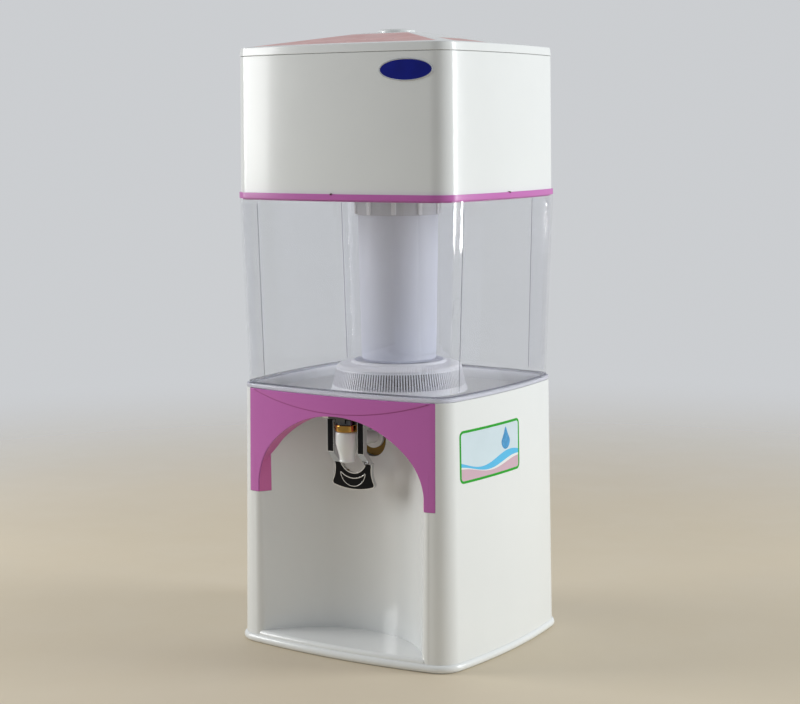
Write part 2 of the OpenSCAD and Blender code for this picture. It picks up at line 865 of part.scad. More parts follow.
// Dished cover of the stone case, with a ring round the cartridge's foot
module case_cover()
    color(white)
        difference() {
            rotate_extrude()
                polygon([
                    [case_top_r, shoulder_z + 0.05], [case_top_r - 3, shoulder_z + 3.4], [54.5, shoulder_z + 5.2],
                    [53, shoulder_z + 8], [50.5, shoulder_z + 8], [49.5, shoulder_z + 3.4], [0, shoulder_z + 2.4],
                    [0, shoulder_z + 0.4], [50, shoulder_z + 0.4], [52, shoulder_z + 2.6],
                    [case_top_r - 4.4, shoulder_z + 1.4], [case_top_r - 3, shoulder_z + 0.05]
                ]);
            for (i = [0:11])
                rotate(30 * i)
                    translate([30, 0, shoulder_z - 1])
                        cylinder(h = 8, r = 3);
        }

// Mineral stones on the plate of the case
module mineral_stones()
    color([0.62, 0.55, 0.48])
        for (ring = [0:3])
            for (i = [0:max(6 * ring, 1) - 1])
                rotate(60 * i / max(ring, 1) + 17 * ring)
                    translate([17.5 * ring, 0, plate_z + 2.05 + 7 + (i % 3) * 0.5])
                        sphere(7 + (i % 3) * 0.5);

// Band between the tanks: ledge, upstand and a lip inside the clear rim
module pink_band()
    color(pink)
        sweep(PLAN) {
            union() {
                ring_block(clear_high, 16, band_z, upper_z - 0.05);
                ring_block(clear_high, upper_low - fit_gap, band_z, band_top);
                ring_block(clear_high + clear_t + 0.9, clear_high + clear_t + 3.2, band_z - 1.6, upper_z - 0.05);
            }
        }

// Upper tank: drafted wall and a floor with the cartridge hole
module upper_tank()
    color(white)
        difference() {
            union() {
                sweep(PLAN)
                    strip(upper_low, upper_z, upper_high, upper_top, wall_t);
                plate(upper_low + wall_t / 2, upper_z + 0.2, wall_t - 0.2);
            }
            translate([0, 0, upper_z - 1])
                cylinder(h = wall_t + 2, r = 14 + fit_gap);
        }

// Soft ring between the collar and the floor of the upper tank
module cartridge_seal()
    color(rubber)
        difference() {
            translate([0, 0, seal_z + 0.05])
                cylinder(h = 1.1, r = 30);
            translate([0, 0, seal_z - 1])
                cylinder(h = 4, r = 14 + fit_gap);
        }

// Ribbed collar of the cartridge, with the spigot through the tank floor
module cartridge_collar()
    color(white)
        difference() {
            union() {
                translate([0, 0, collar_z])
                    cylinder(h = collar_h, r = collar_r - 2);
                for (i = [0:collar_ribs - 1])
                    rotate(360 * i / collar_ribs + 9)
                        translate([collar_r - 6, -2.7, collar_z + 1])
                            cube([6, 5.4, collar_h - 2]);
                translate([0, 0, seal_z - 1])
                    cylinder(h = 18, r = 14);
            }
            translate([0, 0, collar_z - 1])
                cylinder(h = collar_h - 3, r = cart_top_r + fit_gap);
            translate([0, 0, collar_z])
                cylinder(h = 60, r = 10);
        }

// Tapered cup of the cartridge, with drip holes in its foot
module cartridge_cup()
    color(white)
        difference() {
            rotate_extrude()
                polygon([
                    [0, cart_z], [cart_low_r - 3, cart_z], [cart_low_r, cart_z + 3], [cart_top_r - 0.4, collar_z - 2],
                    [cart_top_r - 0.4, seal_z - 4.6], [cart_top_r - 2.4, seal_z - 4.6], [cart_top_r - 2.4, collar_z - 2],
                    [cart_low_r - 2, cart_z + 4], [cart_low_r - 4, cart_z + 2.2], [0, cart_z + 2.2]
                ]);
            for (i = [0:9])
                rotate(36 * i)
                    translate([cart_low_r - 14, 0, cart_z - 1])
                        cylinder(h = 8, r = 2);
        }

// Filling of the cup between two heights
module filling(z0, z1) {
    slope = (cart_top_r - cart_low_r - 0.4) / (collar_z - 5 - cart_z);
    r0 = cart_low_r - 2.4 + slope * (z0 - cart_z - 4);
    r1 = cart_low_r - 2.4 + slope * (z1 - cart_z - 4);
    translate([0, 0, z0])
        cylinder(h = z1 - z0, r1 = r0, r2 = r1);
}

// Ion exchange beads in the lower half
module resin_bed()
    color([0.78, 0.52, 0.2])
        filling(cart_z + 9.2, cart_z + 78);

// Carbon grains in the upper half
module carbon_bed()
    color([0.1, 0.1, 0.11])
        filling(cart_z + 82.2, collar_z - 12);

// Felt pads under, between and over the beds
module filter_pads()
    color([0.9, 0.89, 0.85]) {
        filling(cart_z + 4.2, cart_z + 9);
        filling(cart_z + 78.2, cart_z + 82);
        filling(collar_z - 11.8, collar_z - 7);
    }

// Base that screws the ceramic dome onto the spigot
module dome_base()
    color([0.3, 0.45, 0.68])
        difference() {
            union() {
                translate([0, 0, upper_floor + 0.1])
                    cylinder(h = 6, r = dome_r + 3);
                translate([0, 0, upper_floor + 6])
                    cylinder(h = 7, r = dome_r - 9.2);
            }
            translate([0, 0, upper_floor - 1])
                cylinder(h = 30, r = 14 + fit_gap);
        }

// Ceramic dome, hollow inside
module ceramic_dome()
    color([0.96, 0.95, 0.92])
        difference() {
            union() {
                translate([0, 0, upper_floor + 6.15])
                    cylinder(h = dome_h, r = dome_r);
                translate([0, 0, upper_floor + 6.15 + dome_h])
                    sphere(dome_r - eps);
            }
            translate([0, 0, upper_floor])
                cylinder(h = dome_h + 6, r = dome_r - 9);
            translate([0, 0, upper_floor + dome_h + 6])
                sphere(dome_r - 9 - eps);
        }

// Lid: straight rim, lip and a hipped roof
module lid_shell()
    color(white) {
        sweep(PLAN) {
            union() {
                strip(upper_high - 0.5, lid_z, upper_high + 0.7, lid_rim, wall_t);
                ring_block(upper_high + wall_t + 0.6, upper_high + wall_t + 2.8, lid_z - 7, lid_rim - 2);
                ring_block(upper_high + 1, upper_high + wall_t + 2.8, lid_rim - 4, lid_rim - 1);
            }
        }
        difference() {
            hip(upper_high + 1.1, lid_rim - 1.1, roof_z);
            hip(upper_high + wall_t + 2, lid_rim - 4, roof_z - 2.6);
        }
    }

// Hipped block from the plan up to a small flat top
module hip(inset, z0, z1)
    hull() {
        plate(inset, z0, 1);
        translate([-29, -26, z1 - 0.1])
            cube([58, 52, 0.1]);
    }

// Round button on the flat top of the lid
module lid_cap()
    color(white)
        translate([0, 0, roof_z + 0.05])
            rotate_extrude()
                polygon([[0, 0], [21, 0], [21, 1.6], [20.3, 2.9], [18.6, 3.7], [0, 4.2]]);

stand_shell();
base_tray();
base_screws();
arch_panel();
clear_tank();
outlet_elbow();
outlet_washer();
outlet_nut();
shank_collar();
shank_seal();
tap_body();
tap_ring();
tap_bonnet();
lever_pin();
tap_stem();
valve_seal();
tap_spring();
lever_frame();
arm_inlays();
paddle_inlay();
paddle_trim();
stone_case();
case_cover();
mineral_stones();
pink_band();
upper_tank();
cartridge_seal();
cartridge_collar();
cartridge_cup();
resin_bed();
carbon_bed();
filter_pads();
dome_base();
ceramic_dome();
lid_shell();
lid_cap();
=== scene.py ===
# %% [markdown]
# # A countertop water filter, finished in Blender
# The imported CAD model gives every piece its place. This lesson builds finer skins round it:
# a white moulded stand with a cup alcove, a clear tank with a hanging filter, a white upper
# tank, a hipped lid and a small push tap. Everything is drawn in millimetres, as a mould
# maker would, and scaled to metres when a piece is kept.

# %% Load the frame
from math import acos, asin, atan, atan2, cos, degrees, pi, radians, sin, sqrt

import bmesh
import bpy
from mathutils import Matrix, Vector


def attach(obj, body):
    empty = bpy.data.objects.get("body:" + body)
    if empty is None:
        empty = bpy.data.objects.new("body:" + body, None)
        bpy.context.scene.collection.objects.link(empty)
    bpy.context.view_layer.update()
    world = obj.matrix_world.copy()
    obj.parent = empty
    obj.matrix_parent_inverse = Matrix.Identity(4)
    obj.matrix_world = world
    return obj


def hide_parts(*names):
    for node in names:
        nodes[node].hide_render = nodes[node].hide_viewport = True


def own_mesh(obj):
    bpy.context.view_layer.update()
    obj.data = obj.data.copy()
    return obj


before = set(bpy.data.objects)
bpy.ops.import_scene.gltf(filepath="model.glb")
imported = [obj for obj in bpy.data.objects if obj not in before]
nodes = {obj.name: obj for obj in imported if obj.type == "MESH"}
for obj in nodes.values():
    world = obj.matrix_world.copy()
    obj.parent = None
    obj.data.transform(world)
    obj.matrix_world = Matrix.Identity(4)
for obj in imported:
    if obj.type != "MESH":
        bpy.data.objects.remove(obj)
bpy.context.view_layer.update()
scene = bpy.context.scene
MM = 0.001

# %% [markdown]
# ## Camera
# The photograph looks at the right front corner, a little from above. Its place, its turn and
# its lens were solved from the long edges of the object, so they are plain numbers here.

# %% Camera
EYE = Vector((1.1198, -1.7329, 0.5809))
AZIMUTH, ELEVATION, ROLL = (radians(a) for a in (32.84, 7.03, -0.426))
camera = bpy.data.objects.new("camera", bpy.data.cameras.new("camera"))
scene.collection.objects.link(camera)
camera.matrix_world = (
    Matrix.Translation(EYE) @ Matrix.Rotation(AZIMUTH, 4, "Z")
    @ Matrix.Rotation(pi / 2 - ELEVATION, 4, "X") @ Matrix.Rotation(ROLL, 4, "Z")
)
camera.data.sensor_width = 36
camera.data.lens = 81.83
camera.data.clip_end = 60
scene.camera = camera
print("camera at", [round(v, 3) for v in EYE])

# %% [markdown]
# ## Finishes
# Moulded plastic is never one flat colour. Light clouds run through it, its gloss changes a
# little from place to place, and the mould leaves a very fine ripple. One function wires these
# three effects to a Principled shader, with small helpers that add a node and feed its sockets.
# All the effects read Object coordinates, so they stay on the piece when it moves.

# %% Finish helper
NOISE_SPAN = (0.3, 0.7)


def feed(node, sockets):
    """Gives each socket of a node a plain value, or a link from another node."""
    for socket, value in sockets.items():
        if isinstance(value, bpy.types.NodeSocket):
            node.id_data.links.new(value, node.inputs[socket])
        else:
            node.inputs[socket].default_value = value


def add_node(tree, kind, sockets, operation=None):
    node = tree.nodes.new("ShaderNode" + kind)
    if operation:
        node.operation = operation
    feed(node, sockets)
    return node.outputs


def remap(tree, source, span, result, smooth=False):
    """Carries a value from one span to another."""
    node = tree.nodes.new("ShaderNodeMapRange")
    if smooth:
        node.interpolation_type = "SMOOTHSTEP"
    names = ("Value", "From Min", "From Max", "To Min", "To Max")
    feed(node, dict(zip(names, (source, *span, *result))))
    return node.outputs["Result"]


def blend(tree, first, second, factor):
    """Mixes two colours."""
    node = tree.nodes.new("ShaderNodeMix")
    node.data_type = "RGBA"
    feed(node, {"A": first, "B": second, "Factor": factor})
    return node.outputs["Result"]


def finish(
    name, colour, rough, cloud=0.03, cloud_size=60, ripple=0.02, ripple_size=1.2, gloss_spread=0.2, **sockets,
):
    """A finish with clouded colour, uneven gloss and a fine ripple. Sizes are in millimetres."""
    made = bpy.data.materials.new(name)
    made.use_nodes = True
    tree = made.node_tree
    place = tree.nodes.new("ShaderNodeTexCoord").outputs["Object"]

    def noise(size, detail):
        return add_node(tree, "TexNoise", {"Scale": 1 / (size * MM), "Detail": detail, "Vector": place})["Fac"]

    dark, pale = ((*[min(1, c * (1 + change)) for c in colour], 1) for change in (-cloud, cloud))
    clouds = remap(tree, noise(cloud_size, 3), NOISE_SPAN, (0, 1))
    gloss = rough * (1 - gloss_spread), rough * (1 + gloss_spread)
    bump = {"Strength": ripple, "Distance": ripple_size * MM * 0.3, "Height": noise(ripple_size, 2)}
    feed(tree.nodes["Principled BSDF"], {
        "Base Color": blend(tree, dark, pale, clouds),
        "Roughness": remap(tree, noise(cloud_size * 0.4, 4), NOISE_SPAN, gloss),
        "Normal": add_node(tree, "Bump", bump)["Normal"],
        **{s.replace("_", " ").title().replace("Ior", "IOR"): value for s, value in sockets.items()},
    })
    return made


# %% Moulded finishes
COATED = {"coat_weight": 0.15}
SHADED = {"cloud": 0.02, "ripple": 0.01, "gloss_spread": 0.05, "specular_ior_level": 0.2}
white = finish(
    "white_gloss", (0.80, 0.82, 0.815), 0.18, cloud=0.008, ripple=0.012, gloss_spread=0.1,
    coat_roughness=0.05, **COATED,
)
pink = finish(
    "pink_gloss", (0.545, 0.138, 0.455), 0.26, cloud=0.006, ripple=0.01, gloss_spread=0.03,
    coat_roughness=0.1, **COATED,
)
# A lighter, redder copy of the pink for the inner faces of the arch: painted light.
pink_return_painted_light = finish("pink_return_painted_light", (0.70, 0.18, 0.45), 0.45, **SHADED)
# A darker pink for the slope under the raised field: a painted shadow line.
pink_painted_shadow = finish("pink_painted_shadow", (0.37, 0.08, 0.28), 0.4, **SHADED)
matt_white = finish("white_matt", (0.71, 0.73, 0.83), 0.45, cloud=0.01, ripple=0.03)
# A darker grey for the collar between the ribs: painted shade under the band.
collar_painted_shade = finish("collar_painted_shade", (0.60, 0.60, 0.65), 0.45, cloud=0.02, ripple=0.03)
# A whiter white for the ribs and the stone case: painted light against the shade inside the tank.
white_painted_light = finish("white_satin_painted_light", (0.88, 0.88, 0.93), 0.36, cloud=0.01, ripple=0.03)
blue = finish("blue_matt", (0.09, 0.2, 0.42), 0.45, cloud=0.04, ripple=0.05)
black = finish(
    "black_gloss", (0.006, 0.006, 0.007), 0.16, cloud=0.2, cloud_size=20, ripple=0.01, specular_ior_level=0.12,
)

# %% [markdown]
# Clear plastic lets light bend through it. A low alpha lets lamp light reach the filter inside as
# well, and a darker colour then tints what is behind the wall. Only part of the light goes through
# the milky and frosted finishes.

# %% Clear finishes
IOR = 1.46
SEE_THROUGH = {"cloud": 0.006, "ripple": 0, "gloss_spread": 0.1, "transmission_weight": 1.0, "ior": IOR}
clear = finish("clear_plastic", (0.42, 0.445, 0.51), 0.03, alpha=0.12, **SEE_THROUGH)
clear_corner = finish("clear_corner", (0.36, 0.37, 0.50), 0.03, alpha=0.2, **SEE_THROUGH)
frosted = finish(
    "frosted_floor", (0.92, 0.93, 0.96), 0.4, cloud=0.01, ripple_size=4, transmission_weight=0.35, ior=IOR,
)
flange_clear = finish(
    "clear_flange", (0.76, 0.77, 0.87), 0.2, cloud=0.02, cloud_size=30, ripple=0.01,
    transmission_weight=0.4, ior=IOR,
)
# Darker clear finish: painted shade for the dark lines that bent light draws in the wall.
clear_painted_dark_line = finish(
    "clear_edge_painted_shade", (0.16, 0.165, 0.21), 0.1, cloud=0.05, cloud_size=30,
    transmission_weight=0.6, ior=IOR, alpha=0.85,
)

# %% [markdown]
# Plated metal is smooth, with small clouds. Inside the filter, the colour and the ripple change at
# the size of the grains, so the beds look like loose grain although they are plain solids.

# %% Metals, rubber and filter beds
PLATED = {"cloud_size": 14, "ripple": 0.01, "gloss_spread": 0.3, "metallic": 1.0}
chrome = finish("chrome_plate", (0.70, 0.71, 0.73), 0.06, cloud=0.03, **PLATED)
# Darkened chrome for the bonnet: a painted dark reflection of the shaded arch and alcove.
chrome_painted_dark_reflection = finish("chrome_painted_dark_reflection", (0.09, 0.09, 0.095), 0.08, cloud=0.05, **PLATED)
gold = finish("gold_plate", (0.50, 0.27, 0.06), 0.12, cloud=0.08, cloud_size=10, gloss_spread=0.4, metallic=1.0)
steel = finish("steel", (0.56, 0.56, 0.58), 0.3, cloud=0.06, cloud_size=8, ripple=0.06, metallic=1.0)
silicone = finish("silicone", (0.30, 0.31, 0.32), 0.55, cloud=0.06, cloud_size=12, ripple=0.08)
latex = finish("latex", (0.30, 0.18, 0.02), 0.5, cloud=0.1, cloud_size=10, ripple=0.05)
ceramic = finish(
    "ceramic_white", (0.84, 0.82, 0.77), 0.75, cloud=0.05, cloud_size=18, ripple=0.35, ripple_size=1.6,
)
resin = finish("resin", (0.42, 0.17, 0.04), 0.35, cloud=0.5, cloud_size=1.6, ripple=0.9)
carbon = finish("carbon", (0.02, 0.02, 0.022), 0.5, cloud=0.7, cloud_size=2, ripple=1.0, ripple_size=1.8)
felt = finish(
    "felt", (0.72, 0.70, 0.64), 0.9, cloud=0.08, cloud_size=3, ripple=0.6, ripple_size=0.5, sheen_weight=0.3,
)
# The stones are darker than their own brown so the case's slits read dark: partly painted shade.
stones_painted_dark = finish("mineral", (0.13, 0.10, 0.08), 0.6, cloud=0.45, cloud_size=7, ripple=0.5, ripple_size=2)
print("finishes:", len(bpy.data.materials))

# %% [markdown]
# ## Keeping a piece
# Every piece ends the same way: doubles are merged, normals are turned outwards, millimetres
# become metres, and the piece is tied to the CAD body that carries it. Weighted normals keep
# big flat faces flat beside their small rounded edges. A piece of open sheets that already look
# the right way keeps its normals.

# %% Helpers for pieces
MERGE, CREASE = 0.002, 38


def as_object(bm, name):
    """Turns a bmesh in millimetres into an object in metres."""
    bmesh.ops.scale(bm, vec=(MM, MM, MM), verts=bm.verts)
    mesh = bpy.data.meshes.new(name)
    bm.to_mesh(mesh)
    bm.free()
    made = bpy.data.objects.new(name, mesh)
    scene.collection.objects.link(made)
    return made


def keep(bm, name, body, finishes, stands_for=(), crease=CREASE, weighted=True, turned_out=False):
    """Turns a bmesh into a finished piece."""
    bmesh.ops.remove_doubles(bm, verts=bm.verts, dist=MERGE)
    if not turned_out:
        bmesh.ops.recalc_face_normals(bm, faces=bm.faces)
    piece = as_object(bm, name)
    mesh = piece.data
    mesh.shade_smooth()
    mesh.set_sharp_from_angle(angle=radians(crease))
    for made in finishes:
        mesh.materials.append(made)
    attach(piece, body)
    if stands_for:
        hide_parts(*stands_for)
    if weighted:
        even_shading(piece)
    print(name, len(mesh.polygons), "faces")
    return piece


def even_shading(piece):
    piece.modifiers.new("even_shading", "WEIGHTED_NORMAL").keep_sharp = True


def break_edges(piece, width, segments):
    """Rounds the sharp edges that a modifier leaves."""
    edge = piece.modifiers.new("edges", "BEVEL")
    edge.limit_method = "ANGLE"
    edge.angle_limit = radians(50)
    edge.width = width * MM
    edge.segments = segments


def thicken(piece, thickness):
    """Gives sheets their thickness, inwards from their faces."""
    thick = piece.modifiers.new("thickness", "SOLIDIFY")
    thick.thickness = thickness * MM
    thick.offset = -1


def round_edges(bm, edges, width, segments, clamp=True):
    bmesh.ops.bevel(
        bm, geom=edges, offset=width, offset_type="OFFSET", segments=segments, profile=0.5,
        affect="EDGES", material=-1, clamp_overlap=clamp,
    )


def soften(bm, width, angle, segments=3):
    """Rounds every edge that is sharper than an angle."""
    limit = radians(angle)
    sharp = [e for e in bm.edges if len(e.link_faces) == 2 and e.calc_face_angle(0) > limit]
    round_edges(bm, sharp, width, segments)


def new_parts(geometry, kind):
    return [g for g in geometry if isinstance(g, kind)]


def move(bm, vec):
    bmesh.ops.translate(bm, vec=vec, verts=bm.verts)


def turn(bm, angle, axis):
    bmesh.ops.rotate(bm, cent=(0, 0, 0), matrix=Matrix.Rotation(angle, 3, axis), verts=bm.verts)


def slab(bm, outline, shift):
    """Fills an outline and extrudes it. Returns the new geometry."""
    face = bm.faces.new([bm.verts.new(p) for p in outline])
    made = bmesh.ops.extrude_face_region(bm, geom=[face])["geom"]
    bmesh.ops.translate(bm, vec=shift, verts=new_parts(made, bmesh.types.BMVert))
    return made


def add(bm, other):
    """Adds the geometry of another bmesh to this one."""
    mesh = bpy.data.meshes.new("carry")
    other.to_mesh(mesh)
    other.free()
    bm.from_mesh(mesh)
    bpy.data.meshes.remove(mesh)


# %% [markdown]
# ## The plan of the body
# Seen from above, the body is a rectangle with bowed sides: four long arcs and four corner
# arcs that meet without a kink. The stand has two more kinds of arc, for the round inner edges
# of its pillars and for the hollow alcove. A walk along such arcs gives places, and a place
# keeps its arc's centre, so a wall can lean in or out by changing only the radius.

# %% Arcs and walks
CORNER_X, CORNER_Y, CORNER_R = 115.0, 99.0, 30.0
HALF_W, HALF_D = 152.3, 137.8


def long_radius(half, reach):
    return (half ** 2 + reach ** 2 - CORNER_R ** 2) / (2 * (reach - CORNER_R))


FRONT_R = long_radius(CORNER_X, HALF_D - CORNER_Y)
SIDE_R = long_radius(CORNER_Y, HALF_W - CORNER_X)
FRONT_C, SIDE_C = FRONT_R - HALF_D, SIDE_R - HALF_W
FRONT_A = degrees(atan(CORNER_X / (FRONT_C + CORNER_Y)))
SIDE_A = degrees(atan(CORNER_Y / (SIDE_C + CORNER_X)))


def walk(arcs):
    """Places along arcs of (centre x, centre y, radius, first angle, last angle, steps)."""
    places = []
    for cx, cy, r, a0, a1, steps in arcs:
        for i in range(steps):
            places.append((cx, cy, r, radians(a0 + (a1 - a0) * i / steps)))
    return places


def spot(place, inset, z):
    cx, cy, r, a = place
    return Vector((cx + (r - inset) * cos(a), cy + (r - inset) * sin(a), z))


FRONT = (0, FRONT_C, FRONT_R, 270 - FRONT_A, 270 + FRONT_A, 36)
FRONT_RIGHT = (CORNER_X, -CORNER_Y, CORNER_R, 270 + FRONT_A, 360 - SIDE_A, 12)
RIGHT = (-SIDE_C, 0, SIDE_R, -SIDE_A, SIDE_A, 30)
BACK_RIGHT = (CORNER_X, CORNER_Y, CORNER_R, SIDE_A, 90 - FRONT_A, 12)
BACK = (0, -FRONT_C, FRONT_R, 90 - FRONT_A, 90 + FRONT_A, 36)
BACK_LEFT = (-CORNER_X, CORNER_Y, CORNER_R, 90 + FRONT_A, 180 - SIDE_A, 12)
LEFT = (SIDE_C, 0, SIDE_R, 180 - SIDE_A, 180 + SIDE_A, 30)
FRONT_LEFT = (-CORNER_X, -CORNER_Y, CORNER_R, 180 + SIDE_A, 270 - FRONT_A, 12)
SIDES = [FRONT, FRONT_RIGHT, RIGHT, BACK_RIGHT, BACK, BACK_LEFT, LEFT, FRONT_LEFT]
BODY = walk(SIDES)
print("front radius", round(FRONT_R, 1), "side radius", round(SIDE_R, 1), "places", len(BODY))

# %% [markdown]
# ## Walls by extruding a loop
# A tank is one loop of edges that is extruded again and again. Each extrusion is a level, and
# a small function says where each place of the loop goes on that level. The number of the
# place is stored on the vertex, because an extrusion copies it to the new vertex.

# %% Loop extrusion
def wall(inset, z):
    return lambda place: spot(place, inset, z)


def grow(places, levels, ring=False, caps=True, tall=None):
    """Extrudes a closed loop through levels. A ring joins its last level to its first.

    If tall is given, only the places that it picks grow to the last level.
    """
    bm = bmesh.new()
    number = bm.verts.layers.int.new("place")
    level_of = bm.verts.layers.int.new("level")
    first = [bm.verts.new(levels[0](p)) for p in places]
    for i, v in enumerate(first):
        v[number] = i
    start = edges = [bm.edges.new((first[i - 1], first[i])) for i in range(len(first))]
    for k, level in enumerate(levels[1:], 1):
        if tall and level is levels[-1]:
            edges = [e for e in edges if all(tall(places[v[number]]) for v in e.verts)]
        made = bmesh.ops.extrude_edge_only(bm, edges=edges)["geom"]
        fresh = set(new_parts(made, bmesh.types.BMVert))
        for v in fresh:
            v.co = level(places[v[number]])
            v[level_of] = k
        edges = [e for e in new_parts(made, bmesh.types.BMEdge) if set(e.verts) <= fresh]
    if ring:
        bmesh.ops.bridge_loops(bm, edges=start + edges)
    elif caps:
        for loop in (start, edges):
            bmesh.ops.contextual_create(bm, geom=loop)
    bmesh.ops.recalc_face_normals(bm, faces=bm.faces)
    return bm


def round_levels(bm, radii, segments=4):
    """Rounds the loops at some levels, each with its own radius."""
    level_of = bm.verts.layers.int["level"]
    for level, radius in radii.items():
        loop = [e for e in bm.edges if all(v[level_of] == level for v in e.verts)]
        round_edges(bm, loop, radius, segments)


# %% [markdown]
# ## Upper tank
# The upper tank is a plain white box with a slight lean. One loop goes up the outside, over
# the rim and down the inside, and the two open ends are filled as underside and floor.

# %% Upper tank
UPPER_Z, UPPER_TOP, UPPER_IN, UPPER_LEAN, UPPER_WALL = 507.6, 660.0, 5.0, 1.4, 3.0
bm = grow(BODY, [
    wall(UPPER_IN, UPPER_Z), wall(UPPER_IN + UPPER_LEAN, UPPER_TOP),
    wall(UPPER_IN + UPPER_LEAN + UPPER_WALL, UPPER_TOP), wall(UPPER_IN + UPPER_WALL, UPPER_Z + UPPER_WALL),
])
round_levels(bm, {0: 1.2, 1: 0.7, 2: 0.5, 3: 2.0})
keep(bm, "upper_tank_skin", "upper", [white], ["upper_tank"])

# %% [markdown]
# ## Pink band
# The band carries the upper tank and drops a lip into the clear tank. It is a closed ring, so
# its section joins up with itself.

# %% Pink band
BAND_Z, BAND_SEAT, BAND_TOP, BAND_LIP = 504.4, 507.55, 511.0, 502.8
bm = grow(BODY, [
    wall(3.0, BAND_Z), wall(3.0, BAND_TOP), wall(4.85, BAND_TOP), wall(4.85, BAND_SEAT), wall(16, BAND_SEAT),
    wall(16, BAND_Z), wall(9, BAND_Z), wall(9, BAND_LIP), wall(6.7, BAND_LIP), wall(6.7, BAND_Z),
], ring=True)
round_levels(bm, {0: 0.8, 1: 1.1, 2: 0.4, 7: 0.5, 8: 0.5})
keep(bm, "pink_band_skin", "upper", [pink], ["pink_band"])

# %% [markdown]
# ## Clear tank
# The clear tank widens towards its rim and stands on a flange that covers the stand, with its
# floor sunk inside. Both faces of the wall are modelled, because light bends at each of them.
# Where a corner of the core meets a side, the mould left a fine upright line on the inside, so
# the walk gets two close neighbours at each of these spots, and the spot itself sinks in. Some of
# these lines and the foot of the wall get a darker clear finish: painted shade for the dark lines
# that light bending through the wall draws there.
# The corners are a little bluer than the sides, the flange is milky and the floor is frosted.

# %% Clear tank
NICK_AT, NICK_HALF, NICK_DEEP = 0.06, 0.5, 0.6
SUNK_Z, FLOOR_Z, FLANGE_Z, FLANGE_TOP, TANK_RIM = 281, 284, 292.4, 296.5, 504
FROSTED, PAINTED_DARK, CORNER, FLANGE = range(1, 5)
tank_walk, nicks, painted_dark_lines, corners = [], set(), set(), set()
for arc in SIDES:
    cx, cy, r, a0, a1, steps = arc
    if r == CORNER_R:
        run = walk([arc])
        corners.update(run)
    else:
        close = degrees(NICK_HALF / r)
        first, last = a0 + (a1 - a0) * NICK_AT, a1 - (a1 - a0) * NICK_AT
        turns = [a0, first - close, first, first + close, last - close, last, last + close, a1]
        run = walk([(cx, cy, r, *step) for step in zip(turns, turns[1:], [2, 1, 1, steps, 1, 1, 2])])
        nicks |= {run[3], run[-3]}
        painted_dark_lines.add(run[3])
        corners.update(run[:3] + run[-2:])
    tank_walk += run


def core(inset, z):
    return lambda place: spot(place, inset - (NICK_DEEP if place in nicks else 0), z)


bm = grow(tank_walk, [
    wall(14.2, SUNK_Z), wall(14.2, FLANGE_Z), wall(7.7, FLANGE_Z), wall(7.7, FLANGE_TOP),
    wall(10.65, FLANGE_TOP), wall(10.57, FLANGE_TOP + 2), wall(3.0, TANK_RIM), wall(5.8, TANK_RIM),
    core(6.0, TANK_RIM - 5), core(13.2, FLANGE_TOP + 5.5), wall(13.4, FLANGE_TOP), wall(17.2, FLANGE_TOP),
    wall(17.2, FLOOR_Z),
])
number, level_of = bm.verts.layers.int["place"], bm.verts.layers.int["level"]
# The foot of the wall and some upright lines take the darker clear finish, a painted shade.
for face in bm.faces:
    rows = {v[level_of] for v in face.verts}
    places = {tank_walk[v[number]] for v in face.verts}
    if 12 in rows:
        face.material_index = FROSTED
    elif rows <= {1, 2, 3}:
        face.material_index = FLANGE
    elif rows == {4, 5} or (rows == {8, 9} and places & painted_dark_lines):
        face.material_index = PAINTED_DARK
    elif rows == {8, 9} and places <= corners:
        face.material_index = CORNER
round_levels(bm, {0: 0.8, 2: 0.7, 3: 1.2, 6: 0.6, 7: 0.6, 10: 1.0, 11: 1.2, 12: 1.5}, segments=3)
tank_finishes = [clear, frosted, clear_painted_dark_line, clear_corner, flange_clear]
keep(bm, "clear_tank_skin", "tank", tank_finishes, ["clear_tank"])

# %% [markdown]
# ## Lid
# The lid has a straight rim and a low roof with four faces. The loop of the rim is carried up
# to a small rounded rectangle, so every level of the roof lies between the two outlines. The
# roof is tinted in front and behind, and the tint runs a little over the front hips. It is a
# second material on those faces.

# %% Lid
TOP_X, TOP_Y, TOP_ROUND = 29.0, 26.0, 4.0
LID_Z, LID_RIM, ROOF_Z = 660.4, 669.5, 686.0


def rounded_box(reach_x, reach_y, edge_steps, corner_steps):
    """Places (centre x, centre y, angle) round a box with round corners, from its front edge on."""
    corners = [(-reach_x, -reach_y), (reach_x, -reach_y), (reach_x, reach_y), (-reach_x, reach_y)]
    places = []
    for k in range(4):
        (x0, y0), (x1, y1), steps, a = corners[k], corners[k - 3], edge_steps[k % 2], 270 + 90 * k
        for i in range(steps):
            places.append((x0 + (x1 - x0) * i / steps, y0 + (y1 - y0) * i / steps, radians(a)))
        places += [(x1, y1, radians(a + 90 * i / corner_steps)) for i in range(corner_steps)]
    return places


top_walk = rounded_box(TOP_X - TOP_ROUND, TOP_Y - TOP_ROUND, (FRONT[5], RIGHT[5]), FRONT_RIGHT[5])
TOPS = {
    place: Vector((cx + TOP_ROUND * cos(a), cy + TOP_ROUND * sin(a), 0))
    for place, (cx, cy, a) in zip(BODY, top_walk)
}


def roof(inset, z0, z1, t):
    def level(place):
        low = spot(place, inset, z0)
        high = TOPS[place] + Vector((0, 0, z1))
        return low.lerp(high, t)
    return level


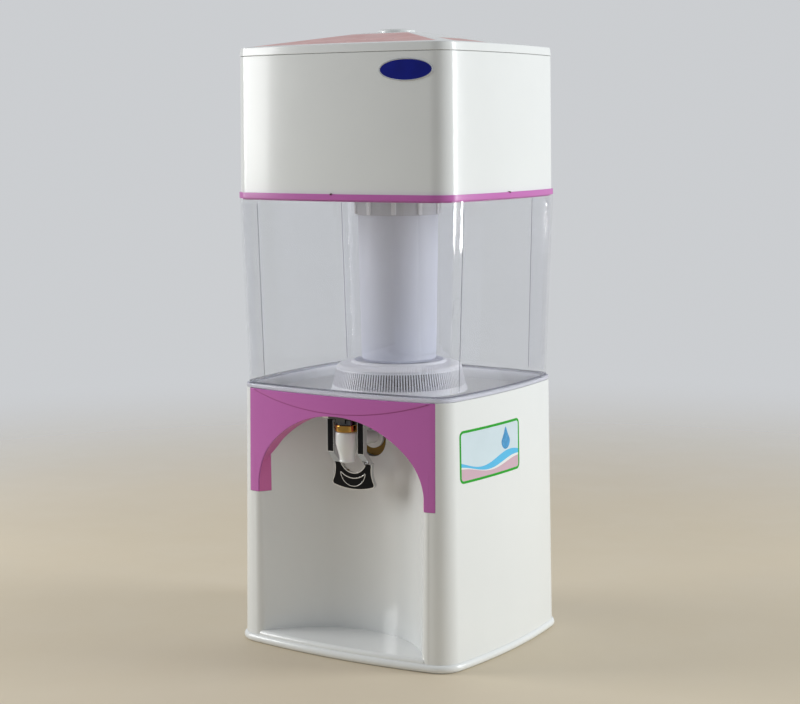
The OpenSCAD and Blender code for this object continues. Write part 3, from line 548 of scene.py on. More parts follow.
ROWS = [0, 0.07, 0.2, 0.4, 0.6, 0.8, 0.9, 1]
LIP_Z, LIP_IN, LIP_OUT, CEILING, CEILING_TOP = 653.4, 12.2, 10, 667, 683.4
bm = grow(BODY, [
    roof(LIP_IN, CEILING, CEILING_TOP, 1), roof(LIP_IN, CEILING, CEILING_TOP, 0),
    wall(LIP_IN, LIP_Z), wall(LIP_OUT, LIP_Z), wall(LIP_OUT, LID_Z), wall(5.9, LID_Z), wall(7.1, LID_RIM),
] + [roof(8.0, LID_RIM, ROOF_Z, t) for t in ROWS])
number, level_of = bm.verts.layers.int["place"], bm.verts.layers.int["level"]
PRINT_LOW = 8
PRINTED = {
    FRONT: (0, 36, 13), FRONT_RIGHT: (0, 4, 13), RIGHT: (1, 10, 10),
    BACK: (1, 35, 13), LEFT: (20, 29, 10), FRONT_LEFT: (7, 12, 13),
}
top_row, done = {}, 0
for arc in SIDES:
    first, last, row = PRINTED.get(arc, (0, 0, 0))
    top_row.update({done + i: row for i in range(first, last)})
    done += arc[5]
for face in bm.faces:
    rows = [v[level_of] for v in face.verts]
    places = [v[number] for v in face.verts]
    column = min(places) if max(places) - min(places) < 2 else max(places)
    if min(rows) >= PRINT_LOW and max(rows) <= top_row.get(column, 0):
        face.material_index = 1
round_levels(bm, {3: 0.5, 5: 0.6, 6: 0.9})
print_tint = finish("lid_print", (0.70, 0.35, 0.33), 0.34, cloud=0.1, cloud_size=40, ripple=0.03)
keep(bm, "lid_skin", "lid", [white, print_tint], ["lid_shell"])

# %% [markdown]
# ## Foot
# The foot is a rounded bead round the whole outline, with the cup shelf raised inside it. The
# bead is a ring like the band, and the shelf is one outline that is filled and extruded. Its
# ends are buried in the pillars, and its front edge is rounded over towards the bead. A flat plate
# closes the foot under the pillars.

# %% Foot
BEAD, BEAD_Z, BEAD_A, BEAD_STEPS, BEAD_BACK = 4.8, 4.5, 69.6, 12, 12
levels = [wall(BEAD_BACK, 0)]
for i in range(BEAD_STEPS + 1):
    a = radians(BEAD_A * (2 * i / BEAD_STEPS - 1))
    levels.append(wall(BEAD - BEAD * cos(a), BEAD_Z + BEAD * sin(a)))
levels.append(wall(BEAD_BACK, 2 * BEAD_Z))
foot = grow(BODY, levels, ring=True)

PILLAR_X, PILLAR_Y, PILLAR_R = 114.0, -115.5, 14.0
ALCOVE_C, ALCOVE_R, ALCOVE_A = -182.0, 118.0, 30.26
SHELF_X, SHELF_BACK, SHELF_LOW, SHELF_TOP, SHELF_ROUND, BURIED = 110.0, -121.2, 3, 14, 4.5, 4.0
front_r = FRONT_R - 3.3
front_a = degrees(asin(SHELF_X / front_r))
front_line = walk([
    (0, FRONT_C, front_r, 270 - front_a, 270 + front_a, 30),
    (0, FRONT_C, front_r, 270 + front_a, 270 + front_a, 1),
])
alcove_line = walk([(0, ALCOVE_C, ALCOVE_R + BURIED, ALCOVE_A, 180 - ALCOVE_A, 48)])
shelf = [spot(p, 0, SHELF_LOW) for p in front_line] + [Vector((SHELF_X, SHELF_BACK, SHELF_LOW))]
shelf += [spot(p, 0, SHELF_LOW) for p in alcove_line] + [Vector((-SHELF_X, SHELF_BACK, SHELF_LOW))]
top = slab(foot, shelf, (0, 0, SHELF_TOP - SHELF_LOW))
rim = [e for f in new_parts(top, bmesh.types.BMFace) for e in f.edges]
front_rim = [e for e in rim if all(v.co.y < SHELF_BACK - 0.5 for v in e.verts)]
round_edges(foot, front_rim, SHELF_ROUND, 8, clamp=False)
add(foot, grow(BODY, [wall(11.5, 2), wall(11.5, 5)]))
keep(foot, "foot_skin", "stand", [white], ["base_tray"])

# %% [markdown]
# ## Stand
# The stand is one moulded skin: sides, back, two pillars and the hollow alcove. Above a ledge
# the front is cut back by the thickness of the pink arch. Where the skin steps in, the walk has
# two places at one spot, and merging doubles closes them wherever there is no step. The alcove
# ends below the rim, so only the front and the sides grow to the last height.

# %% Stand skin
FOOT_Z, LEDGE_Z, LEG_TOP, ALCOVE_TOP, STAND_TOP = 9.0, 174.35, 217.65, 276.0, 292.0
PANEL_HALF, STEP, LEG_BACK = 123.15, 2.55, -110.85
LEAN_LOW, LEAN = 3, 4.7
EDGE_A = degrees(atan(PILLAR_X / (FRONT_C - PILLAR_Y)))


def lean(z):
    """How far the stand's skin lies inside the foot's outline at a height."""
    return LEAN_LOW + LEAN * (z - FOOT_Z) / (STAND_TOP - FOOT_Z)


def front_spot(x, z, inset):
    """Point of the bowed front, at a distance inside the foot's outline."""
    r = FRONT_R - inset
    if abs(x) < CORNER_X + (CORNER_R - inset) * sin(radians(FRONT_A)):
        return Vector((x, FRONT_C - sqrt(r * r - x * x), z))
    c = CORNER_R - inset
    return Vector((x, -CORNER_Y - sqrt(c * c - (abs(x) - CORNER_X) ** 2), z))


def arc_places(cx, cy, r, a0, a1, steps, zone, hollow=False, last=False):
    """Places of an arc that also know their zone of the stand, and whether the arc is hollow."""
    count = steps + (1 if last else 0)
    return [(cx, cy, r, radians(a0 + (a1 - a0) * i / steps), zone, hollow) for i in range(count)]


def skin_spot(place, z, deep):
    """Point of the skin at a height. The zones in deep are cut back for the arch."""
    cx, cy, r, a, zone, hollow = place
    inset = lean(z) + (STEP if zone in deep else 0)
    r = r + inset if hollow else r - inset
    x, y = cx + r * cos(a), cy + r * sin(a)
    if zone == "leg" and "front" in deep:
        y = max(y, front_spot(x, z, lean(z) + STEP).y)
    return Vector((x, y, z))


PANEL_A = degrees(acos((PANEL_HALF - CORNER_X) / (CORNER_R - 5.7)))
RETURN_A = degrees(asin((LEG_BACK - ALCOVE_C) / (ALCOVE_R + 6)))
right_half = (
    arc_places(0, ALCOVE_C, ALCOVE_R, 90, RETURN_A, 30, "alcove", True, last=True)
    + arc_places(0, ALCOVE_C, ALCOVE_R, RETURN_A, ALCOVE_A, 4, "leg", True)
    + arc_places(PILLAR_X, PILLAR_Y, PILLAR_R, 180 + ALCOVE_A, 270 + EDGE_A, 14, "leg", last=True)
    + arc_places(0, FRONT_C, FRONT_R, 270 + EDGE_A, 270 + FRONT_A, 1, "front")
    + arc_places(CORNER_X, -CORNER_Y, CORNER_R, 270 + FRONT_A, 360 - PANEL_A, 3, "front", last=True)
    + arc_places(CORNER_X, -CORNER_Y, CORNER_R, 360 - PANEL_A, 360 - SIDE_A, 12, "side")
    + arc_places(*RIGHT, "side")
    + arc_places(*BACK_RIGHT, "side")
    + arc_places(0, -FRONT_C, FRONT_R, 90 - FRONT_A, 90, 18, "side", last=True)
)
left_half = [(-cx, cy, r, pi - a, zone, hollow) for cx, cy, r, a, zone, hollow in reversed(right_half)]
SKIN = right_half + left_half[1:-1]
OPEN, ARCH_DEEP, LEGS_DEEP = (), ("front",), ("front", "leg")
stages = [(FOOT_Z + (LEDGE_Z - FOOT_Z) * i / 4, OPEN) for i in range(5)]
stages += [(LEDGE_Z, LEGS_DEEP), (LEG_TOP, LEGS_DEEP)]
stages += [(z, ARCH_DEEP) for z in (LEG_TOP, 245, ALCOVE_TOP, STAND_TOP)]


def skin_level(z, deep):
    return lambda place: skin_spot(place, z, deep)


levels = [skin_level(*stage) for stage in stages]
bm = grow(SKIN, levels, caps=False, tall=lambda place: place[4] in ("front", "side"))
stand = keep(bm, "stand_skin", "stand", [white], ["stand_shell"], weighted=False)

# %% [markdown]
# The shank of the tap passes through a slot that is open at the top, so that the tank can be
# lifted out. A U-shaped block cuts it, then Solidify gives the skin its thickness and Bevel
# breaks the sharp edges.

# %% Slot, thickness and edges of the stand
SLOT_R, SLOT_Z, SLOT_TOP, SLOT_FRONT, SLOT_DEEP = 19.5, 234, 300, -80, 45
cutter = bmesh.new()
outline = [(-SLOT_R * cos(pi * i / 24), SLOT_Z - SLOT_R * sin(pi * i / 24)) for i in range(25)]
outline += [(SLOT_R, SLOT_TOP), (-SLOT_R, SLOT_TOP)]
slab(cutter, [(x, SLOT_FRONT, z) for x, z in outline], (0, SLOT_DEEP, 0))
bmesh.ops.recalc_face_normals(cutter, faces=cutter.faces)
slot_block = as_object(cutter, "slot_block")
thicken(stand, 3)
cut = stand.modifiers.new("slot", "BOOLEAN")
cut.operation = "DIFFERENCE"
cut.solver = "EXACT"
cut.object = slot_block
break_edges(stand, 0.5, 2)
solid = bpy.data.meshes.new_from_object(stand.evaluated_get(bpy.context.evaluated_depsgraph_get()))
stand.modifiers.clear()
stand.data = solid
bpy.data.objects.remove(slot_block)
solid.set_sharp_from_angle(angle=radians(CREASE))
even_shading(stand)
print("stand", len(solid.polygons), "faces")

# %% [markdown]
# ## Pink arch
# The arch is a bowed plate with a wide opening, a raised field under its top edge, legs that
# wrap the pillars and a short return under the curve. Rays from the middle of the opening give
# matching points on the opening and on the outside, and rows between them follow the bow.

# %% Arch plate
PANEL_X, PANEL_LOW, PANEL_TOP = 123.0, 174.5, 291.5
ARCH_HALF, ARCH_SIDE_R, ARCH_SPRING, ARCH_TOP = 110.0, 70.0, 183.0, 269.3
HAUNCH_X, RISE = ARCH_HALF - ARCH_SIDE_R, ARCH_TOP - ARCH_SPRING
CROWN_R = (HAUNCH_X ** 2 + RISE ** 2 - ARCH_SIDE_R ** 2) / (2 * (RISE - ARCH_SIDE_R))
CROWN_Z = ARCH_TOP - CROWN_R
JOIN = atan2(ARCH_SPRING - CROWN_Z, HAUNCH_X)


def ray_to_circle(a, cx, cz, r):
    d = Vector((cos(a), sin(a)))
    o = Vector((-cx, ARCH_SPRING - cz))
    b = o.dot(d)
    return d * (-b + sqrt(b * b - o.dot(o) + r * r))


def arch_point(a):
    """Point of the opening, on a ray from the middle of its springing line."""
    s = 1 if cos(a) >= 0 else -1
    p = ray_to_circle(a, s * HAUNCH_X, ARCH_SPRING, ARCH_SIDE_R)
    if atan2(p.y, s * p.x - HAUNCH_X) > JOIN:
        p = ray_to_circle(a, 0, CROWN_Z, CROWN_R)
    return p.x, ARCH_SPRING + p.y


def outer_point(a):
    d = Vector((cos(a), sin(a)))
    t = min(PANEL_X / max(abs(d.x), 1e-9), (PANEL_TOP - ARCH_SPRING) / max(d.y, 1e-9))
    return d.x * t, ARCH_SPRING + d.y * t


corner_ray = atan2(PANEL_TOP - ARCH_SPRING, PANEL_X)
rays = [corner_ray * i / 14 for i in range(14)]
rays += [corner_ray + (pi - 2 * corner_ray) * i / 60 for i in range(60)]
rays += [pi - corner_ray * i / 14 for i in range(14, -1, -1)]
LEG_MID, ACROSS = 179.0, 9
pairs = [((ARCH_HALF, z), (PANEL_X, z)) for z in (PANEL_LOW, LEG_MID)]
pairs += [(arch_point(a), outer_point(a)) for a in rays]
pairs += [((-ARCH_HALF, z), (-PANEL_X, z)) for z in (LEG_MID, PANEL_LOW)]


def ribbon(bm, lines, facing, index=0):
    """Joins lines of points into a sheet whose faces look the way that facing says."""
    before, sheet = None, []
    for points in lines:
        line = [bm.verts.new(p) for p in points]
        strip = [bm.edges.new(line[k:k + 2]) for k in range(len(line) - 1)]
        if before:
            sheet += bmesh.ops.bridge_loops(bm, edges=before + strip)["faces"]
        before = strip
    wrong = []
    for face in sheet:
        face.material_index = index
        face.normal_update()
        if face.normal.dot(facing(face.calc_center_median())) < 0:
            wrong.append(face)
    bmesh.ops.reverse_faces(bm, faces=wrong)


def between(inner, outer, k):
    x = inner[0] + (outer[0] - inner[0]) * k / ACROSS
    z = inner[1] + (outer[1] - inner[1]) * k / ACROSS
    return front_spot(x, z, lean(z))


bm = bmesh.new()
ribbon(bm, [[between(i, o, k) for k in range(ACROSS + 1)] for i, o in pairs], lambda c: Vector((0, -1, 0)))

# %% [markdown]
# The return runs back from the curve until it meets the alcove, and keeps clear of the tap. The
# legs follow the round edges of the pillars. All of them are thin sheets, and one Solidify
# modifier gives them the thickness of the moulding. Their inner faces take a lighter, redder
# copy of the pink: painted light for the light that falls on them.

# %% Return and legs of the arch
TAP = (0, -107.0)
PLATE, RETURN_LOW, RETURN_Y, TAP_CLEAR, WRAP_EDGE, RETURN_STEPS = 2.4, 207, -104.8, 32.0, 8, 3
runs = [[], []]
for (x, z), _ in pairs:
    front_y = front_spot(x, z, lean(z)).y + PLATE - 0.05
    wall_y = ALCOVE_C + sqrt(max(0, (ALCOVE_R + lean(z)) ** 2 - x * x)) - 0.3
    back_y = min(RETURN_Y, wall_y)
    if abs(x) < TAP_CLEAR:
        back_y = min(back_y, TAP[1] - sqrt(TAP_CLEAR ** 2 - x * x))
    if z < RETURN_LOW or back_y < front_y + 0.4:
        continue
    away = Vector((x, z - 150)).normalized() * 0.06
    depths = [front_y + (back_y - front_y) * k / RETURN_STEPS for k in range(RETURN_STEPS + 1)]
    runs[x > 0].append([Vector((x + away.x, y, z + away.y)) for y in depths])
for run in runs:
    ribbon(bm, run, lambda c: Vector((-c.x, 0, 180 - c.z)), 1)
wrap = arc_places(PILLAR_X, PILLAR_Y, PILLAR_R, 270 + EDGE_A, 180 + ALCOVE_A, 14, "leg")
wrap += arc_places(0, ALCOVE_C, ALCOVE_R, ALCOVE_A, RETURN_A, 4, "leg", True, last=True)
for side in (1, -1):
    rows = [[skin_spot(place, z, OPEN) for z in (PANEL_LOW, 189, 203, LEG_TOP - 0.15)] for place in wrap]
    rows = [[Vector((side * p.x, p.y, p.z)) for p in row] for row in rows]
    for part, index in ((rows[:WRAP_EDGE + 1], 0), (rows[WRAP_EDGE:], 1)):
        ribbon(bm, part, lambda c: Vector((c.x - side * 118, c.y + 108, 0)), index)
arch = keep(
    bm, "arch_skin", "stand", [pink, pink_return_painted_light], ["arch_panel"], weighted=False, turned_out=True,
)
thicken(arch, PLATE)
break_edges(arch, 0.7, 3)
even_shading(arch)

# %% [markdown]
# The raised field is bounded below by one wide curve. It is a thin lens that stands half a
# millimetre proud of the plate. Its lower edge is a small slope in a darker pink, a painted
# shadow which shows as a fine line.

# %% Raised field of the arch
FIELD_R, FIELD_Z, FIELD_RISE, FIELD_HALF, FIELD_STEPS = 380.0, 271.8, 0.6, 116, 60
SLOPE, FOOT_RISE, SUNK = 1.1, 0.15, -0.4
rises = (SUNK, FOOT_RISE, FIELD_RISE, FIELD_RISE, FIELD_RISE, FOOT_RISE, SUNK)
bm = bmesh.new()
row_of = bm.verts.layers.int.new("row")
before = None
for i in range(FIELD_STEPS + 1):
    x = FIELD_HALF * (2 * i / FIELD_STEPS - 1)
    low, high = FIELD_Z + FIELD_R - sqrt(FIELD_R ** 2 - x * x), PANEL_TOP - 0.2
    heights = (low, low, low + SLOPE, (low + PANEL_TOP) / 2, high - 0.4, high, high)
    line = []
    for k, (z, rise) in enumerate(zip(heights, rises)):
        line.append(bm.verts.new(front_spot(x, z, lean(z) - rise)))
        line[k][row_of] = k
    strip = [bm.edges.new((line[k - 1], line[k])) for k in range(len(line))]
    if before:
        bmesh.ops.bridge_loops(bm, edges=before + strip)
    before = strip
# Faces of the lower slope take the darker pink, the painted shadow line.
for face in bm.faces:
    face.material_index = int(max(v[row_of] for v in face.verts) <= 2)
bmesh.ops.holes_fill(bm, edges=bm.edges, sides=0)
keep(bm, "arch_field", "stand", [pink, pink_painted_shadow], crease=45)

# %% [markdown]
# ## Turned pieces
# Everything round is a profile that is spun about its axis. The profile is a line of radius and
# height, drawn once, and the sharp rings are rounded with a small bevel afterwards.

# %% Spin helper
def turned(profile, centre=(0, 0), steps=96, width=0.4, angle=25, along_y=None):
    """Spins a profile of (radius, height) about an upright axis, or about Y at a given height."""
    bm = bmesh.new()
    line = [bm.verts.new((r, 0, z)) for r, z in profile]
    edges = [bm.edges.new(line[i:i + 2]) for i in range(len(line) - 1)]
    if profile[0][0] > 0:
        edges.append(bm.edges.new((line[-1], line[0])))
    bmesh.ops.spin(
        bm, geom=line + edges, cent=(0, 0, 0), axis=(0, 0, 1), angle=2 * pi, steps=steps, use_merge=True,
    )
    bmesh.ops.remove_doubles(bm, verts=bm.verts, dist=MERGE)
    bmesh.ops.recalc_face_normals(bm, faces=bm.faces)
    if width:
        soften(bm, width, angle)
    if along_y is not None:
        turn(bm, -pi / 2, "X")
        move(bm, (centre[0], 0, along_y))
    else:
        move(bm, (*centre, 0))
    return bm


# %% [markdown]
# ## Filter and stone case
# The cartridge hangs from a ribbed collar and ends just above the stone case. One rib is made
# and rounded, and a spin that duplicates it sets out the other nine.

# %% Cartridge
CUP_LOW, CUP_NECK, CUP_TOP, CUP_R = 318, 482, 501.8, 45.6
cup = turned([
    (0, CUP_LOW), (39.5, CUP_LOW), (42.5, CUP_LOW + 3), (CUP_R, CUP_NECK), (CUP_R, CUP_TOP),
    (CUP_R - 2.4, CUP_TOP), (CUP_R - 2.4, CUP_NECK), (40.5, CUP_LOW + 4), (38.5, CUP_LOW + 2.2),
    (0, CUP_LOW + 2.2),
], width=0.8)
keep(cup, "cartridge_cup_skin", "upper", [matt_white], ["cartridge_cup"])


def block(size, centre, width=0.5, segments=2):
    """A box with rounded edges, as a bmesh of its own."""
    bm = bmesh.new()
    bmesh.ops.create_cube(bm, size=1)
    bmesh.ops.scale(bm, vec=size, verts=bm.verts)
    move(bm, centre)
    if width:
        soften(bm, width, 60, segments)
    return bm


def set_out(bm, count, first=0):
    """Repeats a piece about the upright axis."""
    turn(bm, radians(first), "Z")
    bmesh.ops.spin(
        bm, geom=bm.verts[:] + bm.edges[:] + bm.faces[:], cent=(0, 0, 0), axis=(0, 0, 1),
        angle=2 * pi * (count - 1) / count, steps=count - 1, use_duplicate=True, use_merge=False,
    )
    return bm


RIBS, FIRST_RIB, COLLAR_R, COLLAR_LOW, COLLAR_TOP, NECK_TOP = 10, 9, 48, 484, 506.4, 523.4
collar = turned([
    (COLLAR_R - 1.85, COLLAR_LOW), (COLLAR_R, COLLAR_LOW), (COLLAR_R, COLLAR_TOP), (14, COLLAR_TOP),
    (14, NECK_TOP), (10, NECK_TOP), (10, COLLAR_TOP - 3.4), (COLLAR_R - 1.85, COLLAR_TOP - 3.4),
], width=0.5)
ribs = set_out(block((4, 5.4, 21), (COLLAR_R - 0.1, 0, 495.3), 0.7), RIBS, FIRST_RIB)
# The ribs take the whiter white, painted light, beside the painted shade of the collar.
for face in ribs.faces:
    face.material_index = 1
add(collar, ribs)
keep(collar, "cartridge_collar_skin", "upper", [collar_painted_shade, white_painted_light], ["cartridge_collar"])

# %% [markdown]
# The stone case lets the water out through a hundred and fifty thin slits. It is easier to make
# what is left between the slits: one slanted bar, repeated about the axis, between two rings.

# %% Stone case
CASE_R, CASE_TOP_R, CASE_LOW, CASE_TOP, CASE_WALL = 78.0, 71.5, 284.05, 311.0, 2.4
SLITS, SLIT_W, SLIT_LOW, SLIT_TOP, SLIT_R, BAR_DEEP = 150, 1.5, 291.0, 309.2, 74, 1.0


def case_radius(z):
    return CASE_R + (CASE_TOP_R - CASE_R) * (z - CASE_LOW) / (CASE_TOP - CASE_LOW)


low_r, top_r = case_radius(SLIT_LOW), case_radius(SLIT_TOP)
case = turned([
    (CASE_R, CASE_LOW), (CASE_R, CASE_LOW + 0.8), (low_r, SLIT_LOW), (low_r - CASE_WALL, SLIT_LOW),
    (74.1, 290.4), (0, 290.4), (0, 288.4), (74.6, 288.4), (CASE_R - CASE_WALL, CASE_LOW),
], steps=SLITS, width=0.35)
add(case, turned([
    (top_r, SLIT_TOP), (CASE_TOP_R, CASE_TOP), (CASE_TOP_R - CASE_WALL, CASE_TOP), (top_r - CASE_WALL, SLIT_TOP),
], steps=SLITS, width=0))
bar_size = (BAR_DEEP, 2 * pi * SLIT_R / SLITS - SLIT_W, SLIT_TOP - SLIT_LOW + 0.8)
bar = block(bar_size, (0, 0, (SLIT_LOW + SLIT_TOP) / 2), 0)
for v in bar.verts:
    v.co.x += case_radius(v.co.z) - BAR_DEEP / 2 - 0.05
add(case, set_out(bar, SLITS))
# The stone case and its cover take the whiter white with painted light.
keep(case, "stone_case_skin", "tank", [white_painted_light], ["stone_case"])
cover = turned([
    (CASE_TOP_R, 311.05), (71.3, 312.4), (68.5, 314.4), (54.5, 316.2), (53, 319), (50.5, 319), (49.5, 314.4),
    (0, 313.4), (0, 311.4), (47.5, 312.2), (66.5, 312.2), (68.5, 311.05),
], width=0.7)
keep(cover, "case_cover_skin", "tank", [white_painted_light], ["case_cover"])

# %% [markdown]
# ## Tap
# The tap body is a waisted barrel with a small lip, and a gold union ring holds its bonnet. Both
# are turned about the axis of the spout, and the shank and its collar about Y. A thin latex
# washer behind the collar closes the slot, and its lower edge shows as a brown crescent.

# %% Tap body, ring and collar
TAP_Z, TAP_R, MOUTH_R, BORE_R, SEAT_R = 216.5, 12.5, 8.8, 5.2, 8.6
NECK_Z, RING_H, SHANK_Z, SWELL, SWELL_STEPS = 250.5, 8.0, 238.0, 21, 16


def ease(t):
    return t * t * (3 - 2 * t)


barrel = [(BORE_R, TAP_Z), (MOUTH_R - 0.3, TAP_Z), (MOUTH_R, TAP_Z + 0.6), (MOUTH_R, TAP_Z + 1.4)]
waist_r = MOUTH_R - 0.5
for t in (i / SWELL_STEPS for i in range(SWELL_STEPS + 1)):
    barrel.append((waist_r + (TAP_R - waist_r) * ease(t), TAP_Z + 2.5 + SWELL * t))
shoulder = ((0, 2.4), (0.25, 1.3), (0.9, 0.5), (2, 0.2), (2, -5.5))
barrel += [(TAP_R - inset, NECK_Z - below) for inset, below in shoulder]
barrel += [(SEAT_R, NECK_Z + 5.5), (SEAT_R, TAP_Z + 16.5), (BORE_R, TAP_Z + 13)]
spout = turned(barrel, TAP, width=0.3, angle=40)
add(spout, turned([(4.6, -99.0), (8, -99.0), (8, -34.5), (4.6, -34.5)], along_y=SHANK_Z))
keep(spout, "tap_body_skin", "tank", [white], ["tap_body"])
ring_top = NECK_Z + RING_H
ring = turned([
    (10.65, NECK_Z), (12.3, NECK_Z), (13, NECK_Z + 0.8), (13, ring_top - 1.6), (12.6, ring_top - 0.6),
    (11.8, ring_top), (10.65, ring_top),
], TAP, width=0.25)
keep(ring, "tap_ring_skin", "tank", [gold], ["tap_ring"])
disc = turned([(8.15, -56.2), (13.4, -56.2), (14, -55.6), (14, -51.9), (8.15, -51.9)], along_y=SHANK_Z)
keep(disc, "shank_collar_skin", "tank", [white], ["shank_collar"])
shield = turned([(11.2, -51.7), (23, -51.7), (23, -50.4), (11.2, -50.4)], along_y=SHANK_Z, width=0.3)
keep(shield, "slot_shield", "tank", [latex])

# %% [markdown]
# Inside the tap a coil spring presses the stem down. A small circle is spun six times round the
# stem while it climbs, which gives round wire without drawing a path.

# %% Tap spring
COIL_R, WIRE_R, COIL_LOW, COIL_TOP, TURNS, TURN_STEPS = 5.0, 0.75, 239.2, 262.5, 6, 28
coil = bmesh.new()
bmesh.ops.create_circle(coil, radius=WIRE_R, segments=10)
turn(coil, pi / 2, "X")
move(coil, (COIL_R, 0, COIL_LOW))
climb = (COIL_TOP - COIL_LOW) / (TURNS * TURN_STEPS)
bmesh.ops.spin(
    coil, geom=coil.verts[:] + coil.edges[:], cent=(0, 0, 0), axis=(0, 0, 1), dvec=(0, 0, climb),
    angle=2 * pi * TURNS, steps=TURNS * TURN_STEPS, use_merge=False,
)
bmesh.ops.holes_fill(coil, edges=coil.edges, sides=0)
move(coil, (*TAP, 0))
spring = keep(coil, "tap_spring_skin", "tank", [steel], ["tap_spring"])
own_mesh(spring)

# %% [markdown]
# The lever, its inlays, the bonnet and the lid's cap keep the shapes of the CAD model, but moulded
# and plated edges are never sharp. A copy of the mesh is merged, its flat faces are joined again,
# and every sharp edge gets a small round that catches the light. The lever frame is cut at a
# split, and its part behind and above it takes the black finish, so it is dark under the arch.

# %% Softened copies of the lever pieces
FLAT, SHARP = 0.6, 35


def softened(node, name, body, finishes, width, segments=2, split=None):
    """A copy of a CAD node with rounded edges, and a second finish behind and above a split (y, z)."""
    bm = bmesh.new()
    bm.from_mesh(nodes[node].data)
    bmesh.ops.scale(bm, vec=(1 / MM, 1 / MM, 1 / MM), verts=bm.verts)
    bmesh.ops.remove_doubles(bm, verts=bm.verts, dist=MERGE)
    bmesh.ops.dissolve_limit(
        bm, angle_limit=radians(FLAT), verts=bm.verts, edges=bm.edges, delimit={"NORMAL"},
    )
    soften(bm, width, SHARP, segments)
    if split:
        for normal in ((0, 1, 0), (0, 0, 1)):
            parts = bm.verts[:] + bm.edges[:] + bm.faces[:]
            bmesh.ops.bisect_plane(bm, geom=parts, plane_co=(0, *split), plane_no=normal)
        for face in bm.faces:
            centre = face.calc_center_median()
            face.material_index = int(centre.y > split[0] and centre.z > split[1])
    return keep(bm, name, body, finishes, [node])


ARM_FRONT, ARM_TOP = -110.6, 262.0
softened(
    "lever_frame", "lever_frame_skin", "lever", [chrome, black], 0.7, 3, (ARM_FRONT, ARM_TOP),
)
softened("arm_inlays", "arm_inlay_skin", "lever", [black], 0.2)
softened("paddle_inlay", "paddle_inlay_skin", "lever", [black], 0.25)
softened("paddle_trim", "paddle_trim_skin", "lever", [chrome], 0.12)
# The bonnet takes the darkened chrome, a painted dark reflection.
softened("tap_bonnet", "tap_bonnet_skin", "tank", [chrome_painted_dark_reflection], 0.4)
softened("lid_cap", "lid_cap_skin", "lid", [white], 0.4)

# %% [markdown]
# ## Badge plate and side panel
# The front carries a small oval plate with a bright rim, and the right side a printed panel with
# a coloured border. Both follow the bow of the wall, so their loops are set on the surface as
# they are extruded towards the middle. The plate stays bare, and the panel has plain waves.

# %% Badge plate
BADGE_X, BADGE_Z = 92, 641


def upper_inset(z):
    """How far the upper tank's wall lies inside the foot's outline at a height."""
    return UPPER_IN + UPPER_LEAN * (z - UPPER_Z) / (UPPER_TOP - UPPER_Z)


def oval(half_x, half_z, rise):
    def level(a):
        x, z = BADGE_X + half_x * cos(a), BADGE_Z + half_z * sin(a)
        return front_spot(x, z, upper_inset(z) - rise)
    return level


def tint_levels(bm, first, index):
    """Gives the faces from a level inwards another finish."""
    level_of = bm.verts.layers.int["level"]
    for f in bm.faces:
        if min(v[level_of] for v in f.verts) >= first:
            f.material_index = index


turnabout = [2 * pi * i / 96 for i in range(96)]
badge = grow(turnabout, [oval(*step) for step in (
    (31, 12, -0.2), (31, 12, 0.5), (30.7, 11.7, 0.8), (29.9, 10.9, 0.8), (29.6, 10.6, 0.5),
    (22, 8, 0.55), (14, 5, 0.6), (6, 2, 0.6),
)])
tint_levels(badge, 4, 1)
navy = finish("badge_navy", (0.004, 0.010, 0.22), 0.22, cloud=0.1, cloud_size=15, specular_ior_level=0.25)
keep(badge, "badge_plate", "upper", [chrome, navy], crease=30, weighted=False)

# %% [markdown]
# The panel is a thin card with round corners. Its loop is a walk like the one round the lid's flat
# top, begun at the upper back corner. It shrinks towards the middle, so that it can follow the bow.

# %% Side panel
PRINT_Y, PRINT_Z, PRINT_HALF_Y, PRINT_HALF_Z, PRINT_ROUND = -38.5, 231.3, 59.0, 28.6, 6.5
CARD_START = 30


def side_spot(y, z, rise):
    return Vector((sqrt((SIDE_R - lean(z) + rise) ** 2 - y * y) - SIDE_C, y, z))


def card(shrink, rise, scale=1.0):
    def level(place):
        cx, cy, a = place
        y = (cx + (PRINT_ROUND - shrink) * cos(a)) * scale
        z = (cy + (PRINT_ROUND - shrink) * sin(a)) * scale
        return side_spot(PRINT_Y + y, PRINT_Z + z, rise)
    return level


box = rounded_box(PRINT_HALF_Y - PRINT_ROUND, PRINT_HALF_Z - PRINT_ROUND, (16, 8), 6)
card_places = box[CARD_START:] + box[:CARD_START]
edge_levels = [card(0, -0.1), card(0, 0.12), card(2.6, 0.12)]
panel = grow(card_places, edge_levels + [card(2.8, 0.1, scale) for scale in (1.0, 0.8, 0.6, 0.4, 0.2, 0.05)])
tint_levels(panel, 3, 1)

# %% [markdown]
# The waves on the panel are a sine of the position along the wall, compared with the height.
# Three comparisons give three bands below the sky, and each one mixes a new colour over the last.

# %% Finish of the side panel
PRINTED_ON = {"ripple": 0.01, "gloss_spread": 0.05}
border = finish(
    "print_border", (0.008, 0.36, 0.010), 0.35, cloud=0.04, cloud_size=20, specular_ior_level=0.25, **PRINTED_ON,
)
waves = finish("print_waves", (0.62, 0.74, 0.80), 0.3, cloud_size=40, **PRINTED_ON)
tree = waves.node_tree
axes = add_node(tree, "SeparateXYZ", {"Vector": tree.nodes["Texture Coordinate"].outputs["Object"]})


def wave_math(operation, *inputs):
    return add_node(tree, "Math", dict(enumerate(inputs)), operation)["Value"]


